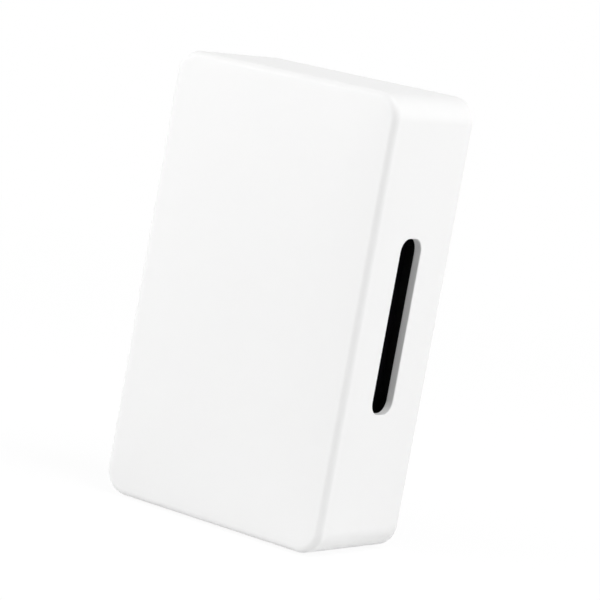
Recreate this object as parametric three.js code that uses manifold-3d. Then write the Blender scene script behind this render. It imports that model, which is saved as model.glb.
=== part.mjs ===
// The indoor chime box of a wired video doorbell: a two-note electromechanical sounder for the wall.
// A moulded cover lifts off a base plate that carries two solenoids, two tone bars and a terminal block.
//
// Sizes are in millimetres. The pieces are laid out face on: x to the right, y up, z out of the wall, with
// the wall at z = 0. The group at the end turns this so that Z is up and the front faces -Y. The origin is
// the middle of the base plate's back face.

import * as THREE from "three";
import { mergeVertices } from "three/addons/utils/BufferGeometryUtils.js";
import Module from "manifold-3d";

const wasm = await Module();
wasm.setup();

// ---------------------------------------------------------------- driving sizes

// Fits
const seatGap = 0.3; // left between pieces that touch
const coverFit = 0.6; // between the base's edge wall and the cover around it

// Cover
const coverWidth = 97;
const coverHeight = 165;
const coverDepth = 50; // from the wall to the edge of the front face
const coverCorner = 9.2;
const coverWall = 3;
const coverDraft = 0.5; // each side leans in by this much from the rim to the front
const frontEdgeRadius = 2.6;
const frontCrown = 0.6; // the front face stands proud by this much, and falls away towards its edges
const innerEdgeRadius = 1.2;
const rimStandOff = 0.4; // the rim stops short of the wall
const slotWidth = 13.1; // sound slot, one in each side
const slotLength = 63.3;
const slotCorner = 4.9;
const slotDepth = 25.2; // from the wall to the slot's middle
const slotRise = 0.4; // from the middle of the side up to the slot's middle
const stopRibThickness = 1.8;
const stopRibReach = 3.4;
const stopRibInset = 22; // from the cover's corner to the ribs beside it

// Base plate
const plateThickness = 2.5;
const edgeWallHeight = 9;
const edgeWallThickness = 1.8;
const crushRibRadius = 1.1;
const crushRibSpacing = 96;
const wireEntryWidth = 26;
const wireEntryHeight = 12;
const wireEntryCorner = 3;
const keyholeToBar = 10; // from each tone bar to the keyhole beside it
const keyholeHeadRadius = 4.5;
const keyholeNeckRadius = 2.3;
const keyholeDrop = 6; // from the neck's end to the middle of the head's hole
const levelSlotLength = 12; // the third wall screw's slot, at the bottom
const stiffenerThickness = 1.5;
const stiffenerHeight = 4;

// Tone bars
const barToCover = 7.7; // from the middle of a bar to the cover's side wall
const barThickness = 2;
const barWidth = 24;
const barEndRoom = 14.1; // from the low bar's end to the end of the base plate
const barInterval = 1.25; // a major third between the two notes
const nodeShare = 0.224; // a free bar's still points, as a share of its length from each end
const barCorner = 2;

// Grommets, bar posts and the screws through them
const grommetFlange = 1.6;
const grommetRadius = 4.6;
const grommetNeckRadius = 2.9;
const postThickness = 4.5;
const postWidth = 10;
const postCap = 5.5; // the post goes on past the screw's middle by this much
const gussetReach = 8;
const gussetThickness = 1.8;

// Screws
const screwRadius = 1.45;
const screwHeadRadius = 2.9;
const screwHeadHeight = 1.9;
const screwGrip = 7; // length held by a boss
const bossRadius = 3.6;

// Solenoids
const solenoidPitch = 28; // between the two plungers
const bobbinFlangeRadius = 11;
const bobbinFlange = 1.5;
const bobbinTubeWall = 1.1;
const windingRadius = 9.4;
const snoutProud = 1.2; // the bobbin's tube pokes through the yoke by this much
const yokeThickness = 1.5;
const yokeWidth = 16;
const yokeBend = 1.2; // inside bend radius
const footLength = 9;
const footDrop = 1.3; // from the bobbin's flange back to the feet
const rearShift = 2.6; // the rear solenoid sits this much to the right, to leave room for its stop

// Plungers, tips and springs
const plungerRadius = 4;
const plungerLength = 40;
const boreClearance = 0.3;
const strikeGap = 9; // from the strike tip to the bar on its right
const returnGap = 2.5; // from the return tip to the bar on its left
const tipRadius = 2.2;
const tipNose = 1.5; // the return tip's nose, outside its flange
const tipFlange = 1.4;
const tipFlangeRadius = 5.3;
const spigotRadius = 1.3;
const spigotLength = 5;
const springLength = 12.5;
const springTurns = 6;
const springWire = 0.5;
const stopPadThickness = 1.5;
const stopWallThickness = 2.2;
const stopWallBorder = 1; // the wall's margin round the pad

// Terminal block
const terminalPitch = 13.5;
const terminalHeight = 14;
const terminalDeck = 8; // height of the block under the plates
const barrierThickness = 1.6;
const barrierHeight = 5.6;
const blockEar = 8.4;
const blockEarThickness = 3.2;
const blockToPost = 2;
const lugPlateSize = 9;
const lugPlateThickness = 0.8;
const lugLength = 5;
const lugWidth = 3.6;
const washerSize = 7.6;
const washerThickness = 1;
const terminalScrewRadius = 1.7;
const terminalHeadRadius = 3.3;
const terminalHeadHeight = 2.2;
const terminalScrewLength = 7.6;

// Coil leads
const leadRadius = 0.6;
const leadToPlate = 1.6; // between the base plate and the lead above it
const leadToFlange = 4; // from a coil's outer lead to the bobbin's flange
const commonLeadShift = 3.4; // from the middle lug to where its two leads leave their coils
const leadBend = 3;

// Facets
const cornerFacets = 8;
const roundFacets = 20;
const smallFacets = 12;
const springFacets = 9; // steps in each turn of a spring
const leadFacets = 20; // steps along a lead

// ---------------------------------------------------------------- sizes that follow

const cavityWidth = coverWidth - 2 * coverWall;
const cavityHeight = coverHeight - 2 * coverWall;
const baseWidth = cavityWidth - 2 * coverFit;
const baseHeight = cavityHeight - 2 * coverFit;
const baseCorner = coverCorner - coverWall - coverFit;
const middleZ = coverDepth / 2; // the plungers and the tone bars lie at half the depth, behind the slots

const barX = cavityWidth / 2 - barToCover;
const barFace = barX - barThickness / 2; // the face that a tip strikes
const lowBarLength = baseHeight - 2 * barEndRoom;
const highBarLength = lowBarLength / Math.sqrt(barInterval); // pitch goes with 1 / length squared
const lowNodeY = lowBarLength * (0.5 - nodeShare);
const highNodeY = highBarLength * (0.5 - nodeShare);

const grommetBore = screwRadius + seatGap;
const grommetNeck = barThickness + 2 * seatGap;
const grommetLength = grommetNeck + 2 * grommetFlange;
const postFace = barX - grommetLength / 2 - seatGap;
const pilotRadius = screwRadius + seatGap;

const boreRadius = plungerRadius + boreClearance;
const snoutRadius = boreRadius + bobbinTubeWall;
const springRadius = boreRadius + springWire / 2; // to the middle of the wire
const returnTipLength = tipFlange + tipNose;
const earOuterX =
  barFace - returnGap - returnTipLength - springLength - snoutProud - 2 * seatGap;
const bobbinLength = 2 * (earOuterX - yokeThickness - seatGap);
const snoutEndX = earOuterX + snoutProud;
const springEndX = snoutEndX + seatGap + springLength;
const flangeInnerX = springEndX + seatGap;
const plungerEndX = flangeInnerX - seatGap; // the plunger's left end, seen from the solenoid's middle
const footZ = middleZ - bobbinFlangeRadius - footDrop; // the feet's back face
const footHoleX = earOuterX + footLength * 0.55;
const solenoidY = solenoidPitch / 2;

const terminalY = lowNodeY + postWidth / 2 + blockToPost + terminalHeight / 2;
const blockWidth = 3 * terminalPitch;
const blockBackZ = plateThickness + seatGap;
const deckZ = blockBackZ + terminalDeck;
const plateZ = deckZ + seatGap;
const washerZ = plateZ + lugPlateThickness + seatGap;
const terminalHeadZ = washerZ + washerThickness + seatGap;
const blockEarX = (blockWidth + blockEar) / 2 + 0.4;
const blockEarZ = deckZ - blockEarThickness;
const blockTopY = terminalY + terminalHeight / 2;
const wallHolesY = (blockTopY + baseHeight / 2 - edgeWallThickness) / 2;
const keyholeX = barX - keyholeToBar;
const leadZ = plateThickness + leadToPlate + leadRadius;

// ---------------------------------------------------------------- materials

const finish = (color, roughness, metalness = 0) =>
  new THREE.MeshStandardMaterial({ color, roughness, metalness });
const whiteAbs = finish(0xf4f4f3, 0.42);
const blackAbs = finish(0x17181a, 0.55);
const blackedSteel = finish(0x1b1c1e, 0.38, 0.7);
const zincSteel = finish(0xb9bcc0, 0.34, 1);
const brightSteel = finish(0xc8cacc, 0.26, 1);
const brass = finish(0xc8a24c, 0.3, 1);
const nylon = finish(0xe9e4d6, 0.5);
const copper = finish(0xb4622c, 0.33, 1);
const blackRubber = finish(0x141414, 0.85);
const greyFelt = finish(0x6c6a66, 0.95);
const redSleeve = finish(0xa8241e, 0.5);
const blueSleeve = finish(0x2a4a86, 0.5);

// ---------------------------------------------------------------- shaping tools

// A closed geometry as a solid that can be cut and joined.
function solid(geometry) {
  const bare = geometry.clone();
  bare.deleteAttribute("normal");
  bare.deleteAttribute("uv");
  const merged = mergeVertices(bare, 1e-4);
  const vertProperties = new Float32Array(merged.attributes.position.array);
  const triVerts = new Uint32Array(merged.index.array);
  return new wasm.Manifold(new wasm.Mesh({ numProp: 3, vertProperties, triVerts }));
}

// A solid back as a geometry with flat faces.
function geometryOf(shape) {
  const mesh = shape.getMesh();
  const positions = new THREE.BufferAttribute(new Float32Array(mesh.vertProperties), 3);
  const indexed = new THREE.BufferGeometry().setAttribute("position", positions);
  const geometry = indexed.setIndex([...mesh.triVerts]).toNonIndexed();
  geometry.computeVertexNormals();
  return geometry;
}

const joined = (shapes) => shapes.reduce((sum, shape) => sum.add(shape));
const cutFrom = (shape, tools) => tools.reduce((rest, tool) => rest.subtract(tool), shape);

// A rounded rectangle's outline, anticlockwise, with the same number of points at any size.
function roundedOutline(width, height, radius, facets = cornerFacets) {
  const points = [];
  for (let corner = 0; corner < 4; corner += 1) {
    const right = corner === 0 || corner === 3 ? 1 : -1;
    const top = corner < 2 ? 1 : -1;
    for (let step = 0; step <= facets; step += 1) {
      const angle = ((corner + step / facets) * Math.PI) / 2;
      const x = right * (width / 2 - radius) + radius * Math.cos(angle);
      const y = top * (height / 2 - radius) + radius * Math.sin(angle);
      points.push(new THREE.Vector2(x, y));
    }
  }
  return points;
}

// An outline pushed straight out along z, from z = 0 to the given height.
function prism(outline, depth) {
  const shape = outline instanceof THREE.Shape ? outline : new THREE.Shape(outline);
  return new THREE.ExtrudeGeometry(shape, { depth, bevelEnabled: false, curveSegments: 4 });
}

// A box between two corners.
function box([x0, y0, z0], [x1, y1, z1]) {
  const geometry = new THREE.BoxGeometry(x1 - x0, y1 - y0, z1 - z0);
  return geometry.translate((x0 + x1) / 2, (y0 + y1) / 2, (z0 + z1) / 2);
}

// A round bar along z, from z0 to z1.
function rodZ(radius, x, y, z0, z1, facets = smallFacets) {
  const geometry = new THREE.CylinderGeometry(radius, radius, z1 - z0, facets);
  return geometry.rotateX(Math.PI / 2).translate(x, y, (z0 + z1) / 2);
}

// A round bar along x, from x0 to x1.
function rodX(radius, x0, x1, y, z, facets = smallFacets) {
  const geometry = new THREE.CylinderGeometry(radius, radius, x1 - x0, facets);
  return geometry.rotateZ(Math.PI / 2).translate((x0 + x1) / 2, y, z);
}

// A profile of [radius, height] pairs, listed upwards on its outside, turned about y.
function turned(profile, facets = roundFacets) {
  return new THREE.LatheGeometry(
    profile.map(([radius, height]) => new THREE.Vector2(radius, height)),
    facets,
  );
}

// Outlines stacked along z, skinned into one closed body. Each section is { z, outline }.
function loft(sections) {
  const count = sections[0].outline.length;
  const positions = [];
  const faces = [];
  for (const { z, outline } of sections) {
    for (const point of outline) positions.push(point.x, point.y, z);
  }
  const backCentre = positions.length / 3;
  positions.push(0, 0, sections[0].z);
  positions.push(0, 0, sections[sections.length - 1].z);
  const lastRing = (sections.length - 1) * count;
  for (let i = 0; i < count; i += 1) {
    const next = (i + 1) % count;
    for (let ring = 0; ring < lastRing; ring += count) {
      faces.push(ring + i, ring + next, ring + count + next);
      faces.push(ring + i, ring + count + next, ring + count + i);
    }
    faces.push(backCentre, next, i);
    faces.push(backCentre + 1, lastRing + i, lastRing + next);
  }
  const attribute = new THREE.Float32BufferAttribute(positions, 3);
  return new THREE.BufferGeometry().setAttribute("position", attribute).setIndex(faces);
}

// A polygon with its corners rounded, each by its own radius. Corners are [x, y, radius].
function filletedShape(corners) {
  const shape = new THREE.Shape();
  corners.forEach(([x, y, radius], i) => {
    const corner = new THREE.Vector2(x, y);
    const [beforeX, beforeY] = corners[(i + corners.length - 1) % corners.length];
    const [afterX, afterY] = corners[(i + 1) % corners.length];
    const back = new THREE.Vector2(beforeX, beforeY).sub(corner).setLength(radius);
    const ahead = new THREE.Vector2(afterX, afterY).sub(corner).setLength(radius);
    const start = back.add(corner);
    const end = ahead.add(corner);
    if (i === 0) shape.moveTo(start.x, start.y);
    else shape.lineTo(start.x, start.y);
    if (radius > 0) shape.quadraticCurveTo(x, y, end.x, end.y);
  });
  shape.closePath();
  return shape;
}

// A named piece, placed in its parent group.
function piece(name, shape, material, x = 0, y = 0, z = 0) {
  const geometry = shape.isBufferGeometry ? shape : geometryOf(shape);
  const mesh = new THREE.Mesh(geometry, material);
  mesh.name = name;
  mesh.position.set(x, y, z);
  return mesh;
}

const towardsRight = -Math.PI / 2; // turns a piece made along y to point along x
const towardsLeft = Math.PI / 2;
const outwards = Math.PI / 2; // about x: turns a piece made along y to point out of the wall

// ---------------------------------------------------------------- cover

// How far each side has leaned in at a height z above the wall.
const leanAt = (z) => (coverDraft * z) / coverDepth;

function coverSection(z, inset) {
  const width = coverWidth - 2 * (leanAt(z) + inset);
  const height = coverHeight - 2 * (leanAt(z) + inset);
  return { z, outline: roundedOutline(width, height, Math.max(coverCorner - inset, 0.6)) };
}

function coverOutside() {
  const sections = [coverSection(rimStandOff, 0)];
  const edgeSteps = 5;
  for (let step = 0; step <= edgeSteps; step += 1) {
    const angle = ((step / edgeSteps) * Math.PI) / 2;
    const inset = frontEdgeRadius * (1 - Math.cos(angle));
    sections.push(coverSection(coverDepth - frontEdgeRadius * (1 - Math.sin(angle)), inset));
  }
  const face = coverSection(coverDepth, frontEdgeRadius).outline;
  for (const share of [0.92, 0.8, 0.6, 0.3]) {
    const outline = face.map((point) => point.clone().multiplyScalar(share));
    sections.push({ z: coverDepth + frontCrown * (1 - share ** 4), outline });
  }
  return solid(loft(sections));
}

function coverInside() {
  const ceiling = coverDepth - coverWall;
  const sections = [coverSection(rimStandOff - 1, coverWall)];
  for (const angle of [0, Math.PI / 6, Math.PI / 3, Math.PI / 2]) {
    const inset = coverWall + innerEdgeRadius * (1 - Math.cos(angle));
    sections.push(coverSection(ceiling - innerEdgeRadius * (1 - Math.sin(angle)), inset));
  }
  return solid(loft(sections));
}

// Ribs inside the side walls, whose ends come down on the base's edge wall and stop the cover there.
function coverStopRibs() {
  const lowEnd = edgeWallHeight + seatGap;
  const highEnd = coverDepth - coverWall / 2;
  const half = stopRibThickness / 2;
  const ribs = [];
  for (const side of [-1, 1]) {
    for (const end of [-1, 1]) {
      const wallX = cavityWidth / 2 + coverWall / 4 - coverDraft;
      const wallY = cavityHeight / 2 + coverWall / 4 - coverDraft;
      const alongY = end * (coverHeight / 2 - stopRibInset);
      const alongX = side * (coverWidth / 2 - stopRibInset);
      const sideRib = box(
        [wallX - stopRibReach, alongY - half, lowEnd],
        [wallX, alongY + half, highEnd],
      );
      const endRib = box(
        [alongX - half, wallY - stopRibReach, lowEnd],
        [alongX + half, wallY, highEnd],
      );
      ribs.push(solid(side > 0 ? sideRib : sideRib.rotateY(Math.PI).translate(0, 0, lowEnd + highEnd)));
      ribs.push(solid(end > 0 ? endRib : endRib.rotateX(Math.PI).translate(0, 0, lowEnd + highEnd)));
    }
  }
  return joined(ribs);
}

function cover() {
  const slot = prism(roundedOutline(slotWidth, slotLength, slotCorner), coverWidth + 2);
  slot.rotateY(Math.PI / 2).translate(-coverWidth / 2 - 1, slotRise, slotDepth);
  const shell = coverOutside().subtract(coverInside()).subtract(solid(slot));
  return piece("cover", shell.add(coverStopRibs()), whiteAbs);
}

// ---------------------------------------------------------------- base plate

// A three-cornered web that props a wall: it runs from x by reach, and is height tall at x.
function gusset(x, reach, y, height) {
  const corners = [[x, 0], [x, height], [x + reach, 0]].map((corner) => new THREE.Vector2(...corner));
  const web = prism(corners, gussetThickness).rotateX(Math.PI / 2);
  return solid(web.translate(0, y + gussetThickness / 2, plateThickness / 2));
}

// One post for a tone bar's screw, with a gusset on the side away from the bar. Made for the right side.
function barPost(nodeY) {
  const body = box(
    [postFace - postThickness, nodeY - postWidth / 2, plateThickness / 2],
    [postFace, nodeY + postWidth / 2, middleZ + postCap],
  );
  const middleX = postFace - postThickness / 2;
  const web = gusset(middleX, -gussetReach - postThickness / 2, nodeY, middleZ - postCap);
  const pilot = rodX(pilotRadius, postFace - postThickness - 1, postFace + 1, nodeY, middleZ);
  return joined([solid(body), web]).subtract(solid(pilot));
}

// A keyhole through the plate: the screw's head goes in below and slides up to the narrow neck.
function keyhole(x) {
  const neckTop = wallHolesY + keyholeDrop / 2;
  const headY = wallHolesY - keyholeDrop / 2;
  const neck = prism(
    roundedOutline(2 * keyholeNeckRadius, keyholeDrop + 2 * keyholeNeckRadius, keyholeNeckRadius, 5),
    plateThickness + 2,
  ).translate(x, (neckTop + headY) / 2, -1);
  const head = rodZ(keyholeHeadRadius, x, headY, -1, plateThickness + 1, roundFacets);
  return joined([solid(neck), solid(head)]);
}

// The wall that the rear plunger's return tip rests against, through its felt pad.
function stopWall() {
  const right = rearShift - flangeInnerX - tipFlange - 2 * seatGap - stopPadThickness;
  const half = tipFlangeRadius + stopWallBorder;
  const wall = box(
    [right - stopWallThickness, -solenoidY - half, plateThickness / 2],
    [right, -solenoidY + half, middleZ + half],
  );
  const height = middleZ - bobbinFlangeRadius - plateThickness;
  const web = gusset(right - stopWallThickness / 2, gussetReach, -solenoidY, height);
  return solid(wall).add(web);
}

// Where the yokes' four screws go: [x, y].
const yokeScrewPlaces = [
  [-footHoleX, solenoidY],
  [footHoleX, solenoidY],
  [rearShift - footHoleX, -solenoidY],
  [rearShift + footHoleX, -solenoidY],
];

function basePlate() {
  const tray = solid(prism(roundedOutline(baseWidth, baseHeight, baseCorner), edgeWallHeight));
  const pocket = prism(
    roundedOutline(
      baseWidth - 2 * edgeWallThickness,
      baseHeight - 2 * edgeWallThickness,
      baseCorner - edgeWallThickness,
    ),
    edgeWallHeight,
  ).translate(0, 0, plateThickness);

  const added = [stopWall()];
  for (const nodeY of [lowNodeY, -lowNodeY]) added.push(barPost(nodeY).mirror([1, 0, 0]));
  for (const nodeY of [highNodeY, -highNodeY]) added.push(barPost(nodeY));
  for (const [x, y] of yokeScrewPlaces) {
    added.push(solid(rodZ(bossRadius, x, y, plateThickness / 2, footZ - seatGap, smallFacets + 2)));
  }
  for (const side of [-1, 1]) {
    const bossTop = blockEarZ - seatGap;
    added.push(solid(rodZ(bossRadius, side * blockEarX, terminalY, plateThickness / 2, bossTop)));
  }

  // Crush ribs on the edge wall, which grip the cover.
  const proud = coverFit - seatGap;
  for (const end of [-1, 1]) {
    for (const side of [-1, 1]) {
      const x = side * (baseWidth / 2 + proud - crushRibRadius);
      const y = (end * crushRibSpacing) / 2;
      added.push(solid(rodZ(crushRibRadius, x, y, plateThickness / 2, edgeWallHeight, 12)));
    }
    const y = end * (baseHeight / 2 + proud - crushRibRadius);
    added.push(solid(rodZ(crushRibRadius, 0, y, plateThickness / 2, edgeWallHeight, 12)));
  }

  // Stiffening ribs across the sounding space below the solenoids.
  const stiffenerTop = plateThickness + stiffenerHeight;
  const lowEnd = -baseHeight / 2 + edgeWallThickness / 2;
  const highEnd = -lowNodeY + postWidth / 2;
  const acrossY = (lowEnd + highEnd) / 2 + postWidth / 2;
  const half = stiffenerThickness / 2;
  for (const x of [-keyholeX / 2, keyholeX / 2]) {
    const low = [x - half, lowEnd, plateThickness / 2];
    added.push(solid(box(low, [x + half, highEnd, stiffenerTop])));
  }
  const acrossX = barX - postWidth / 2;
  const across = box(
    [-acrossX, acrossY - half, plateThickness / 2],
    [acrossX, acrossY + half, stiffenerTop],
  );
  added.push(solid(across));

  const holes = [keyhole(-keyholeX), keyhole(keyholeX)];
  const wireEntry = prism(
    roundedOutline(wireEntryWidth, wireEntryHeight, wireEntryCorner, 5),
    plateThickness + 2,
  ).translate(0, wallHolesY, -1);
  holes.push(solid(wireEntry));
  const levelSlot = prism(
    roundedOutline(levelSlotLength, 2 * keyholeNeckRadius, keyholeNeckRadius, 5),
    plateThickness + 2,
  ).translate(0, (acrossY + lowEnd) / 2, -1);
  holes.push(solid(levelSlot));
  for (const [x, y] of yokeScrewPlaces) {
    const pilotEnd = footZ - seatGap - screwGrip - 1;
    holes.push(solid(rodZ(pilotRadius, x, y, Math.max(pilotEnd, plateThickness / 2), footZ)));
  }
  for (const side of [-1, 1]) {
    holes.push(solid(rodZ(pilotRadius, side * blockEarX, terminalY, plateThickness / 2, blockEarZ)));
  }

  const moulding = joined([tray.subtract(solid(pocket)), ...added]);
  return piece("base_plate", cutFrom(moulding, holes), blackAbs);
}

// ---------------------------------------------------------------- screws

// A pan head screw along y: its head stands on y = 0 and its shank goes down from there.
function screw(headRadius, headHeight, shankRadius, shankLength) {
  const point = shankRadius * 0.6;
  const body = turned(
    [
      [0, -shankLength],
      [shankRadius * 0.45, -shankLength],
      [shankRadius, -shankLength + point],
      [shankRadius, 0],
      [headRadius, 0],
      [headRadius, headHeight * 0.45],
      [headRadius * 0.72, headHeight * 0.9],
      [0, headHeight],
    ],
    smallFacets,
  );
  return solid(body);
}

// The cross recess of a Phillips head.
function crossRecess(headRadius, headHeight) {
  const reach = headRadius * 0.55;
  const half = headRadius * 0.13;
  const floor = headHeight * 0.35;
  const bars = [
    box([-reach, floor, -half], [reach, headHeight + 1, half]),
    box([-half, floor, -reach], [half, headHeight + 1, reach]),
  ];
  return joined(bars.map(solid));
}

function crossScrew(name, shankLength, material) {
  const head = crossRecess(screwHeadRadius, screwHeadHeight);
  const body = screw(screwHeadRadius, screwHeadHeight, screwRadius, shankLength);
  return piece(name, body.subtract(head), material);
}

// ---------------------------------------------------------------- tone bars

function toneBar(name, length, nodeY) {
  const plate = solid(prism(roundedOutline(barWidth, length, barCorner, 3), barThickness));
  const holes = [-1, 1].map((end) =>
    solid(rodZ(grommetNeckRadius + seatGap, 0, end * nodeY, -1, barThickness + 1, smallFacets + 4)),
  );
  const mesh = piece(name, cutFrom(plate, holes), blackedSteel);
  mesh.rotation.y = Math.PI / 2;
  mesh.position.z = middleZ;
  return mesh;
}

// A rubber grommet along y, from y = 0: two flanges and the neck that goes through the bar.
function grommet(name) {
  const profile = [
    [grommetBore, 0],
    [grommetRadius - 0.4, 0],
    [grommetRadius, grommetFlange / 2],
    [grommetRadius, grommetFlange],
    [grommetNeckRadius, grommetFlange],
    [grommetNeckRadius, grommetFlange + grommetNeck],
    [grommetRadius, grommetFlange + grommetNeck],
    [grommetRadius, grommetLength - grommetFlange / 2],
    [grommetRadius - 0.4, grommetLength],
    [grommetBore, grommetLength],
    [grommetBore, 0],
  ];
  return piece(name, turned(profile, smallFacets), blackRubber);
}

// A tone bar with its two grommets and screws, on the left (-1) or the right (1).
function hungBar(name, side, length, nodeY) {
  const group = new THREE.Group();
  const bar = toneBar(`${name}_tone_bar`, length, nodeY);
  bar.position.x = side * barX - barThickness / 2;
  group.add(bar);
  const shank = seatGap + grommetLength + seatGap + postThickness - 0.5;
  for (const [place, y] of [["upper", nodeY], ["lower", -nodeY]]) {
    const ring = grommet(`${name}_bar_${place}_grommet`);
    ring.position.set(side * (barX - grommetLength / 2), y, middleZ);
    const fixing = crossScrew(`${name}_bar_${place}_screw`, shank, zincSteel);
    fixing.position.set(side * (barX + grommetLength / 2 + seatGap), y, middleZ);
    for (const mesh of [ring, fixing]) {
      mesh.rotation.z = side > 0 ? towardsRight : towardsLeft;
      group.add(mesh);
    }
  }
  return group;
}

// ---------------------------------------------------------------- solenoids

// A steel strap over the coil: two ears with holes for the bobbin's tube, and two feet.
function yoke(name) {
  const topZ = middleZ + bobbinFlangeRadius + seatGap + yokeThickness;
  const footTopZ = footZ + yokeThickness;
  const footEndX = earOuterX + footLength;
  const inner = yokeBend;
  const outer = yokeBend + yokeThickness;
  const strip = filletedShape([
    [-footEndX, footZ, 0],
    [yokeThickness - earOuterX, footZ, outer],
    [yokeThickness - earOuterX, topZ - yokeThickness, inner],
    [earOuterX - yokeThickness, topZ - yokeThickness, inner],
    [earOuterX - yokeThickness, footZ, outer],
    [footEndX, footZ, 0],
    [footEndX, footTopZ, 0],
    [earOuterX, footTopZ, inner],
    [earOuterX, topZ, outer],
    [-earOuterX, topZ, outer],
    [-earOuterX, footTopZ, inner],
    [-footEndX, footTopZ, 0],
  ]);
  // The strip is drawn in x and z, so its own y is turned to z.
  const strap = prism(strip, yokeWidth).rotateX(Math.PI / 2).translate(0, yokeWidth / 2, 0);
  const tools = [rodX(snoutRadius + seatGap, -earOuterX - 1, earOuterX + 1, 0, middleZ, roundFacets)];
  for (const side of [-1, 1]) {
    tools.push(rodZ(pilotRadius, side * footHoleX, 0, footZ - 1, footTopZ + 1));
  }
  return piece(name, cutFrom(solid(strap), tools.map(solid)), zincSteel);
}

// The bobbin, along y about its middle: a tube with two flanges, open for the plunger.
function bobbin(name) {
  const flangeOut = bobbinLength / 2;
  const flangeIn = flangeOut - bobbinFlange;
  const profile = [
    [boreRadius, -snoutEndX],
    [snoutRadius, -snoutEndX],
    [snoutRadius, -flangeOut],
    [bobbinFlangeRadius, -flangeOut],
    [bobbinFlangeRadius, -flangeIn],
    [snoutRadius, -flangeIn],
    [snoutRadius, flangeIn],
    [bobbinFlangeRadius, flangeIn],
    [bobbinFlangeRadius, flangeOut],
    [snoutRadius, flangeOut],
    [snoutRadius, snoutEndX],
    [boreRadius, snoutEndX],
    [boreRadius, -snoutEndX],
  ];
  return piece(name, turned(profile), nylon);
}

function winding(name) {
  const half = bobbinLength / 2 - bobbinFlange - seatGap;
  const inner = snoutRadius + seatGap;
  const profile = [
    [inner, -half],
    [windingRadius - 0.4, -half],
    [windingRadius, -half + 0.8],
    [windingRadius, half - 0.8],
    [windingRadius - 0.4, half],
    [inner, half],
    [inner, -half],
  ];
  return piece(name, turned(profile), copper);
}

// A steel plunger along y from y = 0, with a blind hole in each end for the tips' spigots.
function plunger(name) {
  const hole = spigotRadius + seatGap;
  const depth = spigotLength + seatGap;
  const chamfer = 0.6;
  const profile = [
    [0, depth],
    [hole, depth],
    [hole, 0],
    [plungerRadius - chamfer, 0],
    [plungerRadius, chamfer],
    [plungerRadius, plungerLength - chamfer],
    [plungerRadius - chamfer, plungerLength],
    [hole, plungerLength],
    [hole, plungerLength - depth],
    [0, plungerLength - depth],
  ];
  return piece(name, turned(profile), brightSteel);
}

// The long nylon tip that strikes the bar. Along y: its spigot goes down from y = 0 into the plunger.
function strikeTip(name, length) {
  const profile = [
    [0, -spigotLength],
    [spigotRadius, -spigotLength],
    [spigotRadius, 0],
    [plungerRadius - 0.6, 0],
    [plungerRadius - 0.6, 1],
    [tipRadius, 1.6],
    [tipRadius, length - 1.3],
    [tipRadius * 0.72, length - 0.4],
    [0, length],
  ];
  return piece(name, turned(profile, smallFacets + 2), nylon);
}

// The short nylon tip at the other end, with the flange that the spring pushes on. The front solenoid's has
// a nose that strikes the low bar as it springs back; the rear one's is flat, and rests on a felt pad.
function returnTip(name, nose) {
  const profile = [
    [0, -spigotLength],
    [spigotRadius, -spigotLength],
    [spigotRadius, 0],
    [tipFlangeRadius, 0],
    [tipFlangeRadius, tipFlange],
  ];
  if (nose > 0) {
    profile.push([tipRadius + 0.6, tipFlange]);
    profile.push([tipRadius, tipFlange + nose * 0.6]);
  }
  profile.push([0, tipFlange + nose]);
  return piece(name, turned(profile, smallFacets + 2), nylon);
}

class Helix extends THREE.Curve {
  constructor(radius, turns, pitch) {
    super();
    Object.assign(this, { radius, turns, pitch });
  }

  getPoint(t, target = new THREE.Vector3()) {
    const angle = 2 * Math.PI * this.turns * t;
    const along = this.pitch * this.turns * t;
    return target.set(this.radius * Math.cos(angle), along, this.radius * Math.sin(angle));
  }
}

// The return spring, along y from y = 0.
function spring(name) {
  const wire = springWire / 2;
  const pitch = (springLength - springWire) / springTurns;
  const section = new THREE.Shape().absarc(0, 0, wire, 0, 2 * Math.PI);
  const geometry = new THREE.ExtrudeGeometry(section, {
    extrudePath: new Helix(springRadius, springTurns, pitch),
    steps: springTurns * springFacets,
    curveSegments: 3,
    bevelEnabled: false,
  });
  return piece(name, geometry.translate(0, wire, 0), brightSteel);
}

// A whole solenoid. Its group lies with y up and its plunger along x, at the height of its own axis.
function solenoid(name, x, y, returnNose) {
  const group = new THREE.Group();
  group.position.set(x, y, 0);
  group.add(yoke(`${name}_yoke`));
  for (const [side, direction] of [["left", -1], ["right", 1]]) {
    const fixing = crossScrew(`${name}_yoke_${side}_screw`, screwGrip + yokeThickness + seatGap, zincSteel);
    fixing.position.set(direction * footHoleX, 0, footZ + yokeThickness + seatGap);
    fixing.rotation.x = outwards;
    group.add(fixing);
  }
  // Pieces along the plunger's axis, each with where its own y = 0 lies and which way it points.
  const strikeLength = barFace - x - strikeGap - (plungerLength - plungerEndX + seatGap);
  const onAxis = [
    [bobbin(`${name}_bobbin`), 0, towardsRight],
    [winding(`${name}_winding`), 0, towardsRight],
    [plunger(`${name}_plunger`), -plungerEndX, towardsRight],
    [strikeTip(`${name}_strike_tip`, strikeLength), plungerLength - plungerEndX + seatGap, towardsRight],
    [returnTip(`${name}_return_tip`, returnNose), -flangeInnerX, towardsLeft],
    [spring(`${name}_spring`), -(snoutEndX + seatGap), towardsLeft],
  ];
  for (const [mesh, axisX, direction] of onAxis) {
    mesh.position.set(axisX, 0, middleZ);
    mesh.rotation.z = direction;
    group.add(mesh);
  }
  return group;
}

// The felt pad that quietens the rear plunger's return.
function stopPad() {
  const left = rearShift - flangeInnerX - tipFlange - seatGap - stopPadThickness;
  const pad = solid(rodX(tipFlangeRadius, left, left + stopPadThickness, 0, 0, smallFacets));
  return piece("rear_stop_pad", pad, greyFelt, 0, -solenoidY, middleZ);
}

// ---------------------------------------------------------------- terminal block

// Terminals from left to right, by the wire that each takes.
const terminals = ["front", "trans", "rear"];
const terminalX = (i) => (i - 1) * terminalPitch;

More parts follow.
